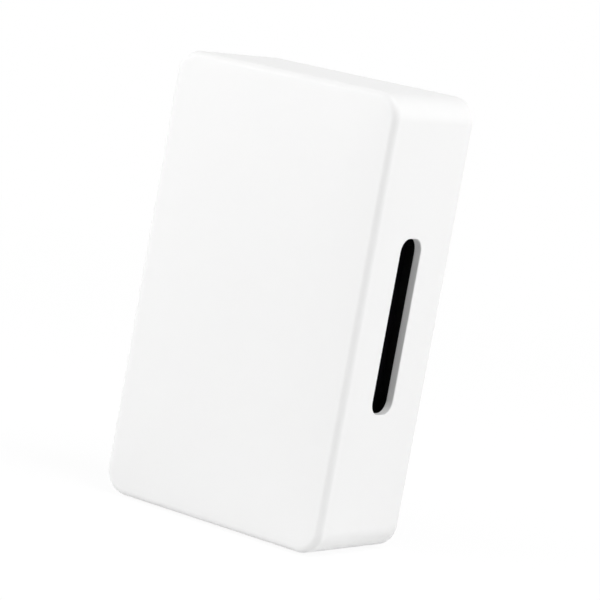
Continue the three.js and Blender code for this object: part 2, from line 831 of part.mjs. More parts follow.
function terminalBlock() {
  const low = terminalY - terminalHeight / 2;
  const high = terminalY + terminalHeight / 2;
  const ears = box(
    [-blockWidth / 2 - blockEar, low + 2, blockEarZ],
    [blockWidth / 2 + blockEar, high - 2, deckZ],
  );
  const body = [
    box([-blockWidth / 2, low, blockBackZ], [blockWidth / 2, high, deckZ]),
    ears,
  ];
  for (let i = 0; i <= terminals.length; i += 1) {
    const x = i * terminalPitch - blockWidth / 2;
    const barrier = box(
      [x - barrierThickness / 2, low, deckZ - 1],
      [x + barrierThickness / 2, high, deckZ + barrierHeight],
    );
    body.push(barrier);
  }
  const holes = [];
  for (const side of [-1, 1]) {
    holes.push(rodZ(pilotRadius, side * blockEarX, terminalY, blockEarZ - 1, deckZ + 1));
  }
  terminals.forEach((_, i) => {
    const radius = terminalScrewRadius + seatGap;
    holes.push(rodZ(radius, terminalX(i), terminalY, blockBackZ + 0.8, deckZ + 1));
  });
  return piece("terminal_block", cutFrom(joined(body.map(solid)), holes.map(solid)), blackAbs);
}

// A brass plate under each screw, with a lug at its lower edge for the coil's leads.
function lugPlate(name, x) {
  const half = lugPlateSize / 2;
  const lugEnd = terminalHeight / 2 + lugLength;
  const outline = filletedShape([
    [-half, -half, 0.8],
    [-lugWidth / 2, -half, 0.5],
    [-lugWidth / 2, -lugEnd, 0.8],
    [lugWidth / 2, -lugEnd, 0.8],
    [lugWidth / 2, -half, 0.5],
    [half, -half, 0.8],
    [half, half, 0.8],
    [-half, half, 0.8],
  ]);
  const hole = rodZ(terminalScrewRadius + seatGap, 0, 0, -1, lugPlateThickness + 1);
  const plate = solid(prism(outline, lugPlateThickness)).subtract(solid(hole));
  return piece(name, plate, brass, x, terminalY, plateZ);
}

// The square washer that rises and falls with the screw and clamps the house wire.
function clampWasher(name, x) {
  const hole = rodZ(terminalScrewRadius + seatGap, 0, 0, -1, washerThickness + 1);
  const plate = solid(prism(roundedOutline(washerSize, washerSize, 1, 3), washerThickness));
  return piece(name, plate.subtract(solid(hole)), zincSteel, x, terminalY, washerZ);
}

// A slotted terminal screw.
function terminalScrew(name, x) {
  const slot = box(
    [-terminalHeadRadius - 1, terminalHeadHeight * 0.4, -0.45],
    [terminalHeadRadius + 1, terminalHeadHeight + 1, 0.45],
  );
  const body = screw(
    terminalHeadRadius,
    terminalHeadHeight,
    terminalScrewRadius,
    terminalScrewLength,
  );
  const mesh = piece(name, body.subtract(solid(slot)), brass, x, terminalY, terminalHeadZ);
  mesh.rotation.x = outwards;
  return mesh;
}

function terminalGroup() {
  const group = new THREE.Group();
  group.add(terminalBlock());
  for (const [side, direction] of [["left", -1], ["right", 1]]) {
    const shank = blockEarThickness + seatGap + blockEarZ - plateThickness - 1;
    const fixing = crossScrew(`terminal_block_${side}_screw`, shank, zincSteel);
    fixing.position.set(direction * blockEarX, terminalY, deckZ + seatGap);
    fixing.rotation.x = outwards;
    group.add(fixing);
  }
  terminals.forEach((name, i) => {
    group.add(lugPlate(`${name}_lug_plate`, terminalX(i)));
    group.add(clampWasher(`${name}_clamp_washer`, terminalX(i)));
    group.add(terminalScrew(`${name}_terminal_screw`, terminalX(i)));
  });
  return group;
}

// ---------------------------------------------------------------- coil leads

// A sleeved lead from the back of a winding, along the base plate and up to the back of a lug.
function lead(name, [startX, startY], [endX, endY], material) {
  const windingBack = middleZ - windingRadius - seatGap;
  const lugBack = plateZ - seatGap;
  const bend = leadBend;
  const path = new THREE.CatmullRomCurve3(
    [
      [startX, startY, windingBack],
      [startX, startY, leadZ + bend],
      [startX, startY + bend, leadZ],
      [startX, startY + 2 * bend, leadZ],
      [endX, endY - 3 * bend, leadZ],
      [endX, endY - bend, leadZ],
      [endX, endY, leadZ + bend],
      [endX, endY, lugBack],
    ].map((point) => new THREE.Vector3(...point)),
    false,
    "centripetal",
  );
  const section = new THREE.Shape().absarc(0, 0, leadRadius, 0, 2 * Math.PI);
  const geometry = new THREE.ExtrudeGeometry(section, {
    extrudePath: path,
    steps: leadFacets,
    curveSegments: 3,
    bevelEnabled: false,
  });
  return piece(name, geometry, material);
}

function leads() {
  const group = new THREE.Group();
  const lugY = terminalY - terminalHeight / 2 - lugLength * 0.6;
  const coilEnd = bobbinLength / 2 - bobbinFlange - leadToFlange;
  const shared = lugWidth / 2 - leadRadius - seatGap / 2; // two leads side by side on the middle lug
  group.add(
    lead("front_coil_lead", [-coilEnd, solenoidY], [terminalX(0), lugY], redSleeve),
    lead("front_common_lead", [commonLeadShift, solenoidY], [shared, lugY], blueSleeve),
    lead("rear_common_lead", [-commonLeadShift, -solenoidY], [-shared, lugY], blueSleeve),
    lead("rear_coil_lead", [rearShift + coilEnd, -solenoidY], [terminalX(2), lugY], redSleeve),
  );
  return group;
}

// ---------------------------------------------------------------- assembly

const chime = new THREE.Group();
chime.name = "doorbell_chime";
chime.add(
  cover(),
  basePlate(),
  hungBar("low", -1, lowBarLength, lowNodeY),
  hungBar("high", 1, highBarLength, highNodeY),
  solenoid("front", 0, solenoidY, tipNose),
  solenoid("rear", rearShift, -solenoidY, 0),
  stopPad(),
  terminalGroup(),
  leads(),
);
chime.rotation.x = Math.PI / 2; // stands the face-on layout up: y becomes Z, and z becomes -Y

export default chime;
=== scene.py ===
# The indoor chime box of a wired video doorbell: a white moulded cover over a black base plate that
# carries two solenoids, two tone bars and a terminal block. X is to the right, Z is up, and the
# front faces -Y.

import math

import bmesh
import bpy
from mathutils import Matrix, Quaternion, Vector


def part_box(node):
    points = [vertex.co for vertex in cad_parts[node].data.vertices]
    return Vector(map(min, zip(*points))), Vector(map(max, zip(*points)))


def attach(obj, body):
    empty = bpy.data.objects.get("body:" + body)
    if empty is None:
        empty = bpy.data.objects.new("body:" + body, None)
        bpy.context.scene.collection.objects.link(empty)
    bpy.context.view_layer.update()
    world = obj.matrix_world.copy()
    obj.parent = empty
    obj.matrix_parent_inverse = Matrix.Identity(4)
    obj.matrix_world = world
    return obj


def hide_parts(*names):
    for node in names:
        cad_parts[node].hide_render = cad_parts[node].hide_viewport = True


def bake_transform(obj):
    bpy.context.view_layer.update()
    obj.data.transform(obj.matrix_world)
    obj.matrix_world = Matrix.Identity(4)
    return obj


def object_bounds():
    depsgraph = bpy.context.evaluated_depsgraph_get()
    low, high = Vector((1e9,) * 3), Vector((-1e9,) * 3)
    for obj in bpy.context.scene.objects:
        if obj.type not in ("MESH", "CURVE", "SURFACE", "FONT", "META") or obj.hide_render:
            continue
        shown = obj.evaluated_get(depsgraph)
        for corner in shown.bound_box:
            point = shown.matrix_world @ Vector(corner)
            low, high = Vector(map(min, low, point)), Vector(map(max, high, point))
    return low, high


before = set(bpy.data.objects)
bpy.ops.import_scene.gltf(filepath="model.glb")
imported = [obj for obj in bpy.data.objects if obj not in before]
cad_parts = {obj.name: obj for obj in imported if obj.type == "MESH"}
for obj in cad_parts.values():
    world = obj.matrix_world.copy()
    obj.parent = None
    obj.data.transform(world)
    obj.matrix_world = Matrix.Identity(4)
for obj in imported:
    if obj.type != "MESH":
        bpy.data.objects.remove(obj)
cad_box = [list(corner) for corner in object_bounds()]


# ---------------------------------------------------------------- camera
# A long lens on a tripod, a little above the middle of the chime and to its right. The head is
# leaned, so that the upright box tips to the right in the picture.

box_low, box_high = (Vector(corner) for corner in cad_box)
box_middle = (box_low + box_high) / 2
aim = box_middle + Vector((0.00427, 0.00288, 0.0004))
view_azimuth = math.radians(33.3)
view_elevation = math.radians(7.36)
view_distance = 1.0338
view_lean = math.radians(10.32)

away = Vector(
    (
        math.sin(view_azimuth) * math.cos(view_elevation),
        -math.cos(view_azimuth) * math.cos(view_elevation),
        math.sin(view_elevation),
    )
)
facing = (-away).to_track_quat("-Z", "Y") @ Quaternion((0, 0, 1), view_lean)
bpy.ops.object.camera_add(location=aim + away * view_distance, rotation=facing.to_euler())
camera = bpy.context.object
camera.name = "camera"
camera.data.lens = 172.2
camera.data.sensor_width = 36
camera.data.clip_start = 0.05
camera.data.clip_end = 20
bpy.context.scene.camera = camera


# ---------------------------------------------------------------- floor, background and light
# A pale sheet under the chime, and soft light from all round. The floor and the background are
# white to the eye and in reflections, and the floor darkens only where the chime keeps the light
# off it.


class Shade:
    """A socket in a node tree. Arithmetic on it adds the Math nodes."""

    def __init__(self, tree, socket=None):
        self.tree = tree
        self.socket = socket

    def node(self, kind, output=0, inputs=None, stops=None, **settings):
        """Adds a node with its settings, ramp stops and inputs, and gives one of its outputs."""
        made = self.tree.nodes.new("ShaderNode" + kind)
        for name, value in settings.items():
            setattr(made, name, value)
        if stops:
            ramp = made.color_ramp
            while len(ramp.elements) < len(stops):
                ramp.elements.new(0.5)
            for element, (place, grey) in zip(ramp.elements, stops):
                element.position = place
                element.color = (grey, grey, grey, 1)
        for name, value in (inputs or {}).items():
            if isinstance(value, Shade):
                self.tree.links.new(value.socket, made.inputs[name])
            else:
                made.inputs[name].default_value = value
        return Shade(self.tree, made.outputs[output])

    def maths(self, operation, *values):
        return self.node("Math", inputs=dict(enumerate(values)), operation=operation)

    def __add__(self, other):
        return self.maths("ADD", self, other)

    __radd__ = __add__

    def __sub__(self, other):
        return self.maths("SUBTRACT", self, other)

    def __rsub__(self, other):
        return self.maths("SUBTRACT", other, self)

    def __mul__(self, other):
        return self.maths("MULTIPLY", self, other)

    __rmul__ = __mul__


def seen_directly(shade):
    """1 for what the eye, a mirror or glass sees, and 0 for what lights the rest."""
    rays = shade.tree.nodes.new("ShaderNodeLightPath").outputs
    kinds = ("Is Camera Ray", "Is Glossy Ray", "Is Transmission Ray")
    eye, mirror, glass = (Shade(shade.tree, rays[kind]) for kind in kinds)
    return eye.maths("MINIMUM", eye + mirror + glass, 1.0)


white = (1, 1, 1, 1)
surround_level = 0.3
floor_paint_share = 0.12  # near the chime, the share of the floor's look that takes the shadow
floor_paint = (0.8, 0.8, 0.8, 1)
floor_glow = 1.05
shadow_reach = (0.25, 0.9)  # from the chime, where that share begins to fall and where it ends

world = bpy.data.worlds.new("studio")
world.use_nodes = True
bpy.context.scene.world = world
surround = Shade(world.node_tree)
backdrop = world.node_tree.nodes["Background"]
backdrop.inputs["Color"].default_value = white
strength = surround_level + (1.0 - surround_level) * seen_directly(surround)
world.node_tree.links.new(strength.socket, backdrop.inputs["Strength"])

bpy.ops.object.select_all(action="DESELECT")
bpy.ops.mesh.primitive_circle_add(
    vertices=96, radius=3, fill_type="NGON", location=(0, 0, box_low.z - 0.0003)
)
floor = bpy.context.object
floor.name = "floor"
bpy.ops.object.transform_apply(location=True, rotation=True, scale=True)
floor_finish = bpy.data.materials.new("pale_floor")
floor_finish.use_nodes = True
floor_tree = floor_finish.node_tree
floor_tree.nodes.remove(floor_tree.nodes["Principled BSDF"])
paper = Shade(floor_tree)
on_floor = paper.node("TexCoord", "Object")
grain = paper.node("TexNoise", inputs={"Vector": on_floor, "Scale": 900.0, "Detail": 3.0})
colour = paper.node("Mix", 2, {0: 0.02, 6: floor_paint, 7: grain}, data_type="RGBA")
paint = paper.node("BsdfDiffuse", inputs={"Color": colour})
distance = paper.node("VectorMath", "Value", {0: on_floor}, operation="LENGTH")
share = paper.node(
    "MapRange",
    inputs={0: distance, 1: shadow_reach[0], 2: shadow_reach[1], 3: floor_paint_share, 4: 0.0},
    interpolation_type="SMOOTHSTEP",
)
brightness = 1.0 + (floor_glow - 1.0) / floor_paint_share * share
glow = paper.node("Emission", inputs={"Color": white, "Strength": brightness})
sight = seen_directly(paper) * (1.0 - share)
surface = paper.node("MixShader", inputs={0: sight, 1: paint, 2: glow})
floor_tree.links.new(surface.socket, floor_tree.nodes["Material Output"].inputs["Surface"])
floor.data.materials.append(floor_finish)


def softbox(name, azimuth, elevation, distance, size, watts, mirrored=True):
    """A square soft light that faces the chime: azimuth 0 is in front, and 90 to its right.
    One that isn't mirrored lights the chime but makes no sheen on it."""
    side, rise = math.radians(azimuth), math.radians(elevation)
    towards = Vector(
        (math.sin(side) * math.cos(rise), -math.cos(side) * math.cos(rise), math.sin(rise))
    )
    bpy.ops.object.light_add(
        type="AREA",
        location=box_middle + towards * distance,
        rotation=(-towards).to_track_quat("-Z", "Y").to_euler(),
    )
    lamp = bpy.context.object
    lamp.name = name
    lamp.data.shape = "SQUARE"
    lamp.data.size = size
    lamp.data.energy = watts
    lamp.visible_glossy = mirrored


softbox("left_front_softbox", azimuth=-30, elevation=8, distance=1.5, size=1.2, watts=15.1)
softbox("left_softbox", azimuth=-70, elevation=20, distance=1.5, size=1.2, watts=4.3)
softbox(
    "right_back_softbox",
    azimuth=114,
    elevation=10,
    distance=1.5,
    size=1.2,
    watts=12.0,
    mirrored=False,
)
softbox("top_right_softbox", azimuth=90, elevation=65, distance=1.5, size=0.6, watts=6.9)
softbox("high_right_softbox", azimuth=60, elevation=55, distance=1.5, size=0.6, watts=2.7)


# ---------------------------------------------------------------- base plate
# A shallow tray of black ABS that is screwed to the wall, moulded in one with the posts, bosses and
# webs that carry the rest. The keyholes and the level slot take the wall screws, and the bell wires
# come in at the top.


def begin(name, add, **settings):
    """Adds a primitive by itself, in place, and opens it for editing."""
    if bpy.context.mode != "OBJECT":
        bpy.ops.object.mode_set(mode="OBJECT")
    bpy.ops.object.select_all(action="DESELECT")
    add(**settings)
    piece = bpy.context.object
    piece.name = piece.data.name = name
    bpy.ops.object.transform_apply(location=True, rotation=True, scale=True)
    bpy.ops.object.mode_set(mode="EDIT")
    return piece


def block(name, corner, opposite):
    """Begins a piece as a block between two opposite corners."""
    low, high = (Vector(ends) for ends in zip(*(sorted(pair) for pair in zip(corner, opposite))))
    return begin(
        name,
        bpy.ops.mesh.primitive_cube_add,
        size=1,
        location=(low + high) / 2,
        scale=high - low,
    )


def choose(kind, *tests):
    """Selects only the corners, edges or faces of the piece in hand that pass every test."""
    bpy.ops.mesh.select_mode(type=kind)
    bpy.ops.mesh.select_all(action="DESELECT")
    shape = bmesh.from_edit_mesh(bpy.context.object.data)
    for part in {"VERT": shape.verts, "EDGE": shape.edges, "FACE": shape.faces}[kind]:
        if all(test(part) for test in tests):
            part.select_set(True)
    bmesh.update_edit_mesh(bpy.context.object.data)


def runs(axis):
    """A test for straight edges that run along one axis: 0, 1 or 2."""
    across = [other for other in range(3) if other != axis]

    def test(edge):
        first, second = (corner.co for corner in edge.verts)
        return all(abs(first[other] - second[other]) < 1e-6 for other in across)

    return test


def at(axis, place, slack=2e-5):
    """A test for corners, edges and faces that lie flat at a place on one axis."""

    def test(part):
        corners = [part] if isinstance(part, bmesh.types.BMVert) else part.verts
        return all(abs(corner.co[axis] - place) < slack for corner in corners)

    return test


def crisp(edge):
    """A test for edges at which the surface turns sharply."""
    return edge.is_manifold and edge.calc_face_angle() > math.radians(40)


def extrude(*move):
    bpy.ops.mesh.extrude_region_move(TRANSFORM_OT_translate={"value": move})


def resize(x, y, z, about=(0, 0, 0)):
    bpy.ops.transform.resize(value=(x, y, z), center_override=about)


def round_over(radius, segments=3):
    """Rounds the edges that are selected."""
    bpy.ops.mesh.bevel(offset=radius, segments=segments, affect="EDGES")


def rounded_block(name, corner, opposite, radius, *tests):
    """Begins a piece as a block whose edges, or those that pass the tests, are rounded."""
    piece = block(name, corner, opposite)
    choose("EDGE", *tests)
    round_over(radius)
    return piece


def turn(name, axis, start, way, rings, steps=32, hollow=False):
    """Turns a piece about an axis through start. Each ring is its radius and how far it lies
    along the axis from start, both in millimetres, and way is the direction. A hollow piece's
    last ring is its first."""
    (radius, place), *others = [(0.001 * radius, 0.001 * way * place) for radius, place in rings]
    middle = Vector(start)
    middle[axis] += place
    half_turn = math.pi / 2
    piece = begin(
        name,
        bpy.ops.mesh.primitive_circle_add,
        vertices=steps,
        radius=radius,
        fill_type="NOTHING" if hollow else "NGON",
        location=middle,
        rotation=((0, half_turn, 0), (half_turn, 0, 0), (0, 0, 0))[axis],
    )
    bpy.ops.mesh.select_all(action="SELECT")
    for next_radius, next_place in others:
        move = Vector((0, 0, 0))
        move[axis] = next_place - place
        extrude(*move)
        middle[axis] += move[axis]
        growth = [next_radius / radius] * 3
        growth[axis] = 1
        resize(*growth, about=middle)
        radius, place = next_radius, next_place
    bpy.ops.mesh.select_all(action="SELECT")
    if hollow:
        bpy.ops.mesh.remove_doubles(threshold=1e-6)
    bpy.ops.mesh.normals_make_consistent(inside=False)
    return piece


def apply(piece, kind, **settings):
    """Adds a modifier to a piece, and applies it."""
    if bpy.context.mode != "OBJECT":
        bpy.ops.object.mode_set(mode="OBJECT")
    bpy.context.view_layer.objects.active = piece
    modifier = piece.modifiers.new(kind.lower(), kind)
    for name, value in settings.items():
        setattr(modifier, name, value)
    bpy.ops.object.modifier_apply(modifier=modifier.name)


def combine(piece, operation, *others):
    """Cuts other pieces out of this one, or joins them on, and removes them."""
    for other in others:
        apply(piece, "BOOLEAN", object=other, operation=operation, solver="EXACT")
        bpy.data.objects.remove(other)


def soften(piece, width, segments=2):
    """Takes the sharpness off every crisp edge of a piece."""
    apply(
        piece,
        "BEVEL",
        width=width,
        segments=segments,
        limit_method="ANGLE",
        angle_limit=math.radians(40),
    )


def shade(piece, degrees=40):
    """Rounds the shading over edges that turn by less than an angle, and keeps flat faces flat."""
    if bpy.context.mode != "OBJECT":
        bpy.ops.object.mode_set(mode="OBJECT")
    bpy.ops.object.select_all(action="DESELECT")
    piece.select_set(True)
    bpy.context.view_layer.objects.active = piece
    bpy.ops.object.shade_smooth_by_angle(angle=math.radians(degrees))
    apply(piece, "WEIGHTED_NORMAL", keep_sharp=True)


def hand_over(piece, material, body, node):
    """Gives a finished piece its material, the body it rides on, and the CAD node it replaces."""
    piece.data.materials.append(material)
    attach(piece, body)
    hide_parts(node)


def new_finish(name, colour, roughness, metallic=0.0, **sockets):
    """A material with one finish all over, ready for what varies. Gives it and its tree."""
    material = bpy.data.materials.new(name)
    material.use_nodes = True
    shader = material.node_tree.nodes["Principled BSDF"]
    values = {"Base Color": (*colour, 1), "Roughness": roughness, "Metallic": metallic}
    values.update({socket.replace("_", " "): value for socket, value in sockets.items()})
    for socket, value in values.items():
        shader.inputs[socket].default_value = value
    return material, Shade(material.node_tree)


def vary(tree, socket, value):
    """Feeds a socket of the material's shader with what varies over the surface."""
    tree.tree.links.new(value.socket, tree.tree.nodes["Principled BSDF"].inputs[socket])


def places(tree, stretch=(1, 1, 1)):
    """Where a point is on the object, in metres, with each axis stretched."""
    return tree.node(
        "Mapping", inputs={"Vector": tree.node("TexCoord", "Object"), "Scale": stretch}
    )


def noise(tree, scale, detail=2.0, stretch=(1, 1, 1)):
    """Smooth random values from 0 to 1, with so many lumps to the metre."""
    settings = {"Vector": places(tree, stretch), "Scale": scale, "Detail": detail}
    return tree.node("TexNoise", inputs=settings)


def bumps(tree, height, strength, depth):
    """Feeds the shader with small bumps of a depth in metres."""
    inputs = {"Strength": strength, "Distance": depth, "Height": height}
    vary(tree, "Normal", tree.node("Bump", inputs=inputs))


def between(tree, share, colour, other):
    """A colour that goes from one to another."""
    inputs = {0: share, 6: (*colour, 1), 7: (*other, 1)}
    return tree.node("Mix", 2, inputs, data_type="RGBA")


seat_gap = 0.0003  # left between pieces that touch
plate_thickness = 0.0025
edge_height = 0.009
edge_thickness = 0.0018
tray_corner = 0.0056
post_thickness = 0.0045
post_half = 0.005
post_cap = 0.0055  # from the screw's middle to the post's top
web_reach = 0.008
web_thickness = 0.0018
stop_wall_thickness = 0.0022
stop_wall_border = 0.001
rib_half = 0.00075
rib_top = -0.0065
bar_to_keyhole = 0.01
keyhole_drop = 0.006
keyhole_neck = 0.0023

plate_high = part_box("base_plate")[1]
tray_side, tray_end = plate_high.x - seat_gap, plate_high.z - seat_gap
floor_y = -plate_thickness
root = floor_y / 2  # where all that stands on the plate begins, inside it

base = block("base_plate_moulding", (-tray_side, -edge_height, -tray_end), (tray_side, 0, tray_end))
choose("EDGE", runs(1))
round_over(tray_corner, 14)
choose("EDGE", at(1, 0))
round_over(0.0003, 2)
choose("FACE", at(1, -edge_height))
bpy.ops.mesh.inset(thickness=edge_thickness)
extrude(0, edge_height - plate_thickness, 0)
choose("EDGE", at(1, floor_y), crisp)
round_over(0.0006)
choose("EDGE", at(1, -edge_height), crisp)
round_over(0.0004)


def middle_of(node):
    """The middle of a CAD node's box."""
    low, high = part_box(node)
    return (low + high) / 2


def web(spine, reach, z, top):
    """A three-cornered web that props a wall. It slopes away from the wall's spine along x."""
    half = web_thickness / 2
    piece = block("web", (spine, root, z - half), (spine + reach, top, z + half))
    choose("FACE", at(1, top))
    resize(0.03, 1, 1, about=(spine, top, z))
    return piece


# Each tone bar's two posts, with a web on the side away from the bar.
for node in ("low_bar_upper", "low_bar_lower", "high_bar_upper", "high_bar_lower"):
    middle = middle_of(node + "_grommet")
    side = math.copysign(1, middle.x)
    face = side * (min(abs(corner.x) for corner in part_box(node + "_grommet")) - seat_gap)
    back = face - side * post_thickness
    post = rounded_block(
        "post",
        (back, root, middle.z - post_half),
        (face, middle.y - post_cap, middle.z + post_half),
        0.0004,
    )
    spine = (face + back) / 2
    reach = -side * (web_reach + post_thickness / 2)
    prop = web(spine, reach, middle.z, middle.y + post_cap + root)
    pilot = turn("pilot", 0, (back, middle.y, middle.z), side, [(1.75, -1), (1.75, 5.5)])
    combine(base, "UNION", post, prop)
    combine(base, "DIFFERENCE", pilot)

# The wall behind the rear solenoid's felt pad, and its web.
pad_low, pad_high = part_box("rear_stop_pad")
pad = middle_of("rear_stop_pad")
wall_face = pad_low.x - seat_gap
wall_half = (pad_high.z - pad_low.z) / 2 + stop_wall_border
stop_wall = rounded_block(
    "stop_wall",
    (wall_face - stop_wall_thickness, root, pad.z - wall_half),
    (wall_face, pad.y - wall_half, pad.z + wall_half),
    0.0004,
)
prop = web(wall_face - stop_wall_thickness / 2, web_reach, pad.z, -0.01275)
combine(base, "UNION", stop_wall, prop)

# Round bosses for the screws that hold the yokes and the terminal block.
for node, seat in (
    ("front_yoke_left_screw", "front_yoke"),
    ("front_yoke_right_screw", "front_yoke"),
    ("rear_yoke_left_screw", "rear_yoke"),
    ("rear_yoke_right_screw", "rear_yoke"),
    ("terminal_block_left_screw", "terminal_block"),
    ("terminal_block_right_screw", "terminal_block"),
):
    middle = middle_of(node)
    top = 12.4 if seat != "terminal_block" else 7.3
    boss = turn("boss", 1, (middle.x, 0, middle.z), -1, [(3.6, 1.25), (3.6, top - 0.3), (3.3, top)])
    depth = max(top - 8, 1.25)
    pilot = turn("pilot", 1, (middle.x, 0, middle.z), -1, [(1.75, depth), (1.75, top + 1)])
    combine(base, "UNION", boss)
    combine(base, "DIFFERENCE", pilot)

# Ribs on the outside of the tray's edge, which the cover's rim squeezes past and grips.
crush_rib = [(1.1, 1.25), (1.1, 7.6), (0.8, 8.7)]
for x, z in [(0, 1), (0, -1)] + [(side, up) for side in (-1, 1) for up in (-0.6, 0.6)]:
    place = (x * (plate_high.x - 0.0011), 0, z * (plate_high.z - 0.0011) if x == 0 else z * 0.08)
    combine(base, "UNION", turn("crush_rib", 1, place, -1, crush_rib, steps=20))

# Low ribs that stiffen the sounding space below the solenoids.
low_end = -tray_end + edge_thickness / 2
high_end = post_half - middle_of("low_bar_upper_grommet").z
across_z = (low_end + high_end) / 2 + post_half
keyhole_x = middle_of("high_tone_bar").x - bar_to_keyhole
across_x = middle_of("high_tone_bar").x - post_half
for x in (-keyhole_x / 2, keyhole_x / 2):
    stiffener = rounded_block(
        "stiffener", (x - rib_half, root, low_end), (x + rib_half, rib_top, high_end), 0.0003
    )
    combine(base, "UNION", stiffener)
stiffener = rounded_block(
    "stiffener",
    (-across_x, root, across_z - rib_half),
    (across_x, rib_top + 0.0001, across_z + rib_half),
    0.0003,
)
combine(base, "UNION", stiffener)

# The keyholes, the bell wires' hole and the level slot, all through the plate.
holes_z = (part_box("terminal_block")[1].z + tray_end - edge_thickness) / 2
through = 0.004
for x in (-keyhole_x, keyhole_x):
    neck = block(
        "neck",
        (x - keyhole_neck, -through, holes_z - keyhole_drop / 2 - keyhole_neck),
        (x + keyhole_neck, through, holes_z + keyhole_drop / 2 + keyhole_neck),
    )
    choose("EDGE", runs(1))
    round_over(keyhole_neck * 0.999, 10)
    head = turn("head", 1, (x, 0, holes_z - keyhole_drop / 2), 1, [(4.5, -4), (4.5, 4)], steps=40)
    combine(base, "DIFFERENCE", neck, head)
for middle_z, half_x, half_z, corner in (
    (holes_z, 0.013, 0.006, 0.003),
    ((across_z + low_end) / 2, 0.006, keyhole_neck, keyhole_neck * 0.999),
):
    hole = block(
        "hole", (-half_x, -through, middle_z - half_z), (half_x, through, middle_z + half_z)
    )
    choose("EDGE", runs(1))
    round_over(corner, 10)
    combine(base, "DIFFERENCE", hole)
shade(base)

black_abs, moulding = new_finish("black_textured_abs", (0.018, 0.018, 0.02), 0.5)
sparked = noise(moulding, 3200, 3.0)
bumps(moulding, sparked, 0.25, 0.00012)
vary(moulding, "Roughness", 0.44 + 0.14 * noise(moulding, 90, 4.0))
vary(
    moulding,
    "Base Color",
    between(moulding, noise(moulding, 45, 3.0), (0.015, 0.015, 0.017), (0.022, 0.022, 0.024)),
)
hand_over(base, black_abs, "base", "base_plate")


# ---------------------------------------------------------------- tone bars
# Two flat bars of blackened steel, blanked from strip and tumbled, a third apart in pitch. Each
# hangs at its two still points between soft rubber grommets, on screws into its posts.

blackened, oxide = new_finish("blackened_steel", (0.02, 0.02, 0.022), 0.42, metallic=0.6)
rolling = noise(oxide, 900, 4.0, (1, 1, 0.03))
bumps(oxide, rolling, 0.15, 0.00008)
vary(oxide, "Roughness", 0.36 + 0.14 * noise(oxide, 140, 4.0))
vary(
    oxide,
    "Base Color",
    between(oxide, noise(oxide, 60, 5.0), (0.014, 0.014, 0.016), (0.03, 0.03, 0.033)),
)

for pitch in ("low", "high"):
    bar_low, bar_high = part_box(pitch + "_tone_bar")
    bar = block(pitch + "_bar_plate", bar_low, bar_high)
    choose("EDGE", runs(0))
    round_over(0.002, 8)
    for place in ("upper", "lower"):
        start = middle_of(f"{pitch}_bar_{place}_grommet")
        combine(bar, "DIFFERENCE", turn("hole", 0, start, 1, [(3.2, -3), (3.2, 3)], steps=40))
    soften(bar, 0.00015)
    shade(bar)
    hand_over(bar, blackened, "base", pitch + "_tone_bar")


def copy_of(master, name, matrix):
    """A finished copy of a piece, moved by a matrix, with its own mesh."""
    piece = master.copy()
    piece.data = master.data.copy()
    piece.name = piece.data.name = name
    bpy.context.scene.collection.objects.link(piece)
    piece.data.transform(matrix)
    return piece


def clear(*masters):
    """Removes the masters that copies were made from."""
    if bpy.context.mode != "OBJECT":
        bpy.ops.object.mode_set(mode="OBJECT")
    for master in masters:
        bpy.data.objects.remove(master)


black_rubber, rubber = new_finish("soft_black_rubber", (0.02, 0.02, 0.02), 0.8)
bumps(rubber, noise(rubber, 2400, 3.0), 0.3, 0.0001)
vary(rubber, "Roughness", 0.7 + 0.2 * noise(rubber, 300, 3.0))

# One grommet, from the post outwards: its bore, a rounded flange, the neck in the bar, and the
# other flange.
flange = [(4.1, 0), (4.45, 0.15), (4.6, 0.5), (4.6, 1.1)]
flange += [(4.45, 1.45), (4.2, 1.6), (3.05, 1.6), (2.9, 1.75)]
far_flange = [(radius, 5.8 - distance) for radius, distance in reversed(flange)]
bore = [(1.9, 0), (1.75, 0.15), (1.75, 5.65), (1.9, 5.8)]
grommet = turn(
    "grommet",
    0,
    (0, 0, 0),
    1,
    [bore[0], *flange, *far_flange, *reversed(bore)],
    steps=40,
    hollow=True,
)
shade(grommet)
for pitch, side in (("low", -1), ("high", 1)):
    for place in ("upper", "lower"):
        node = f"{pitch}_bar_{place}_grommet"
        inner_x = side * min(abs(corner.x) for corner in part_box(node))
        middle = middle_of(node)
        turned = Matrix.Rotation(0 if side > 0 else math.pi, 4, "Z")
        on_post = Matrix.Translation((inner_x, middle.y, middle.z))
        ring = copy_of(grommet, node + "_ring", on_post @ turned)
        hand_over(ring, black_rubber, "base", node)
clear(grommet)

zinc, plating = new_finish("bright_zinc_plate", (0.62, 0.63, 0.65), 0.34, metallic=1.0)
crystals = plating.node(
    "TexVoronoi", inputs={"Vector": places(plating), "Scale": 900.0}, distance="EUCLIDEAN"
)
bumps(plating, noise(plating, 1500, 3.0), 0.12, 0.00008)
vary(plating, "Roughness", 0.26 + 0.1 * noise(plating, 220, 4.0) + 0.06 * crystals)
vary(
    plating,
    "Base Color",
    between(plating, noise(plating, 120, 4.0), (0.56, 0.57, 0.58), (0.68, 0.69, 0.7)),
)


def screw_rings(shank, radius, root_radius, pitch, head):
    """The rings of a screw whose head stands on 0: its point, thread and head, in millimetres."""
    rings = [(radius * 0.4, -shank), (root_radius, 0.9 - shank)]
    place = 1.1 - shank
    while place < -0.5:
        rings += [(radius, place), (radius, place + 0.12 * pitch)]
        rings += [(root_radius, place + 0.55 * pitch)]
        rings.append((root_radius, place + 0.7 * pitch))
        place += pitch
    return [*rings, (radius, -0.1), *head]


# The cross-recess screws, one master for each length, with the head towards the front.
pan_head = [(2.7, 0), (2.9, 0.15), (2.9, 0.75), (2.75, 1.15)]
pan_head += [(2.4, 1.5), (1.8, 1.76), (1.0, 1.87), (0.3, 1.9)]


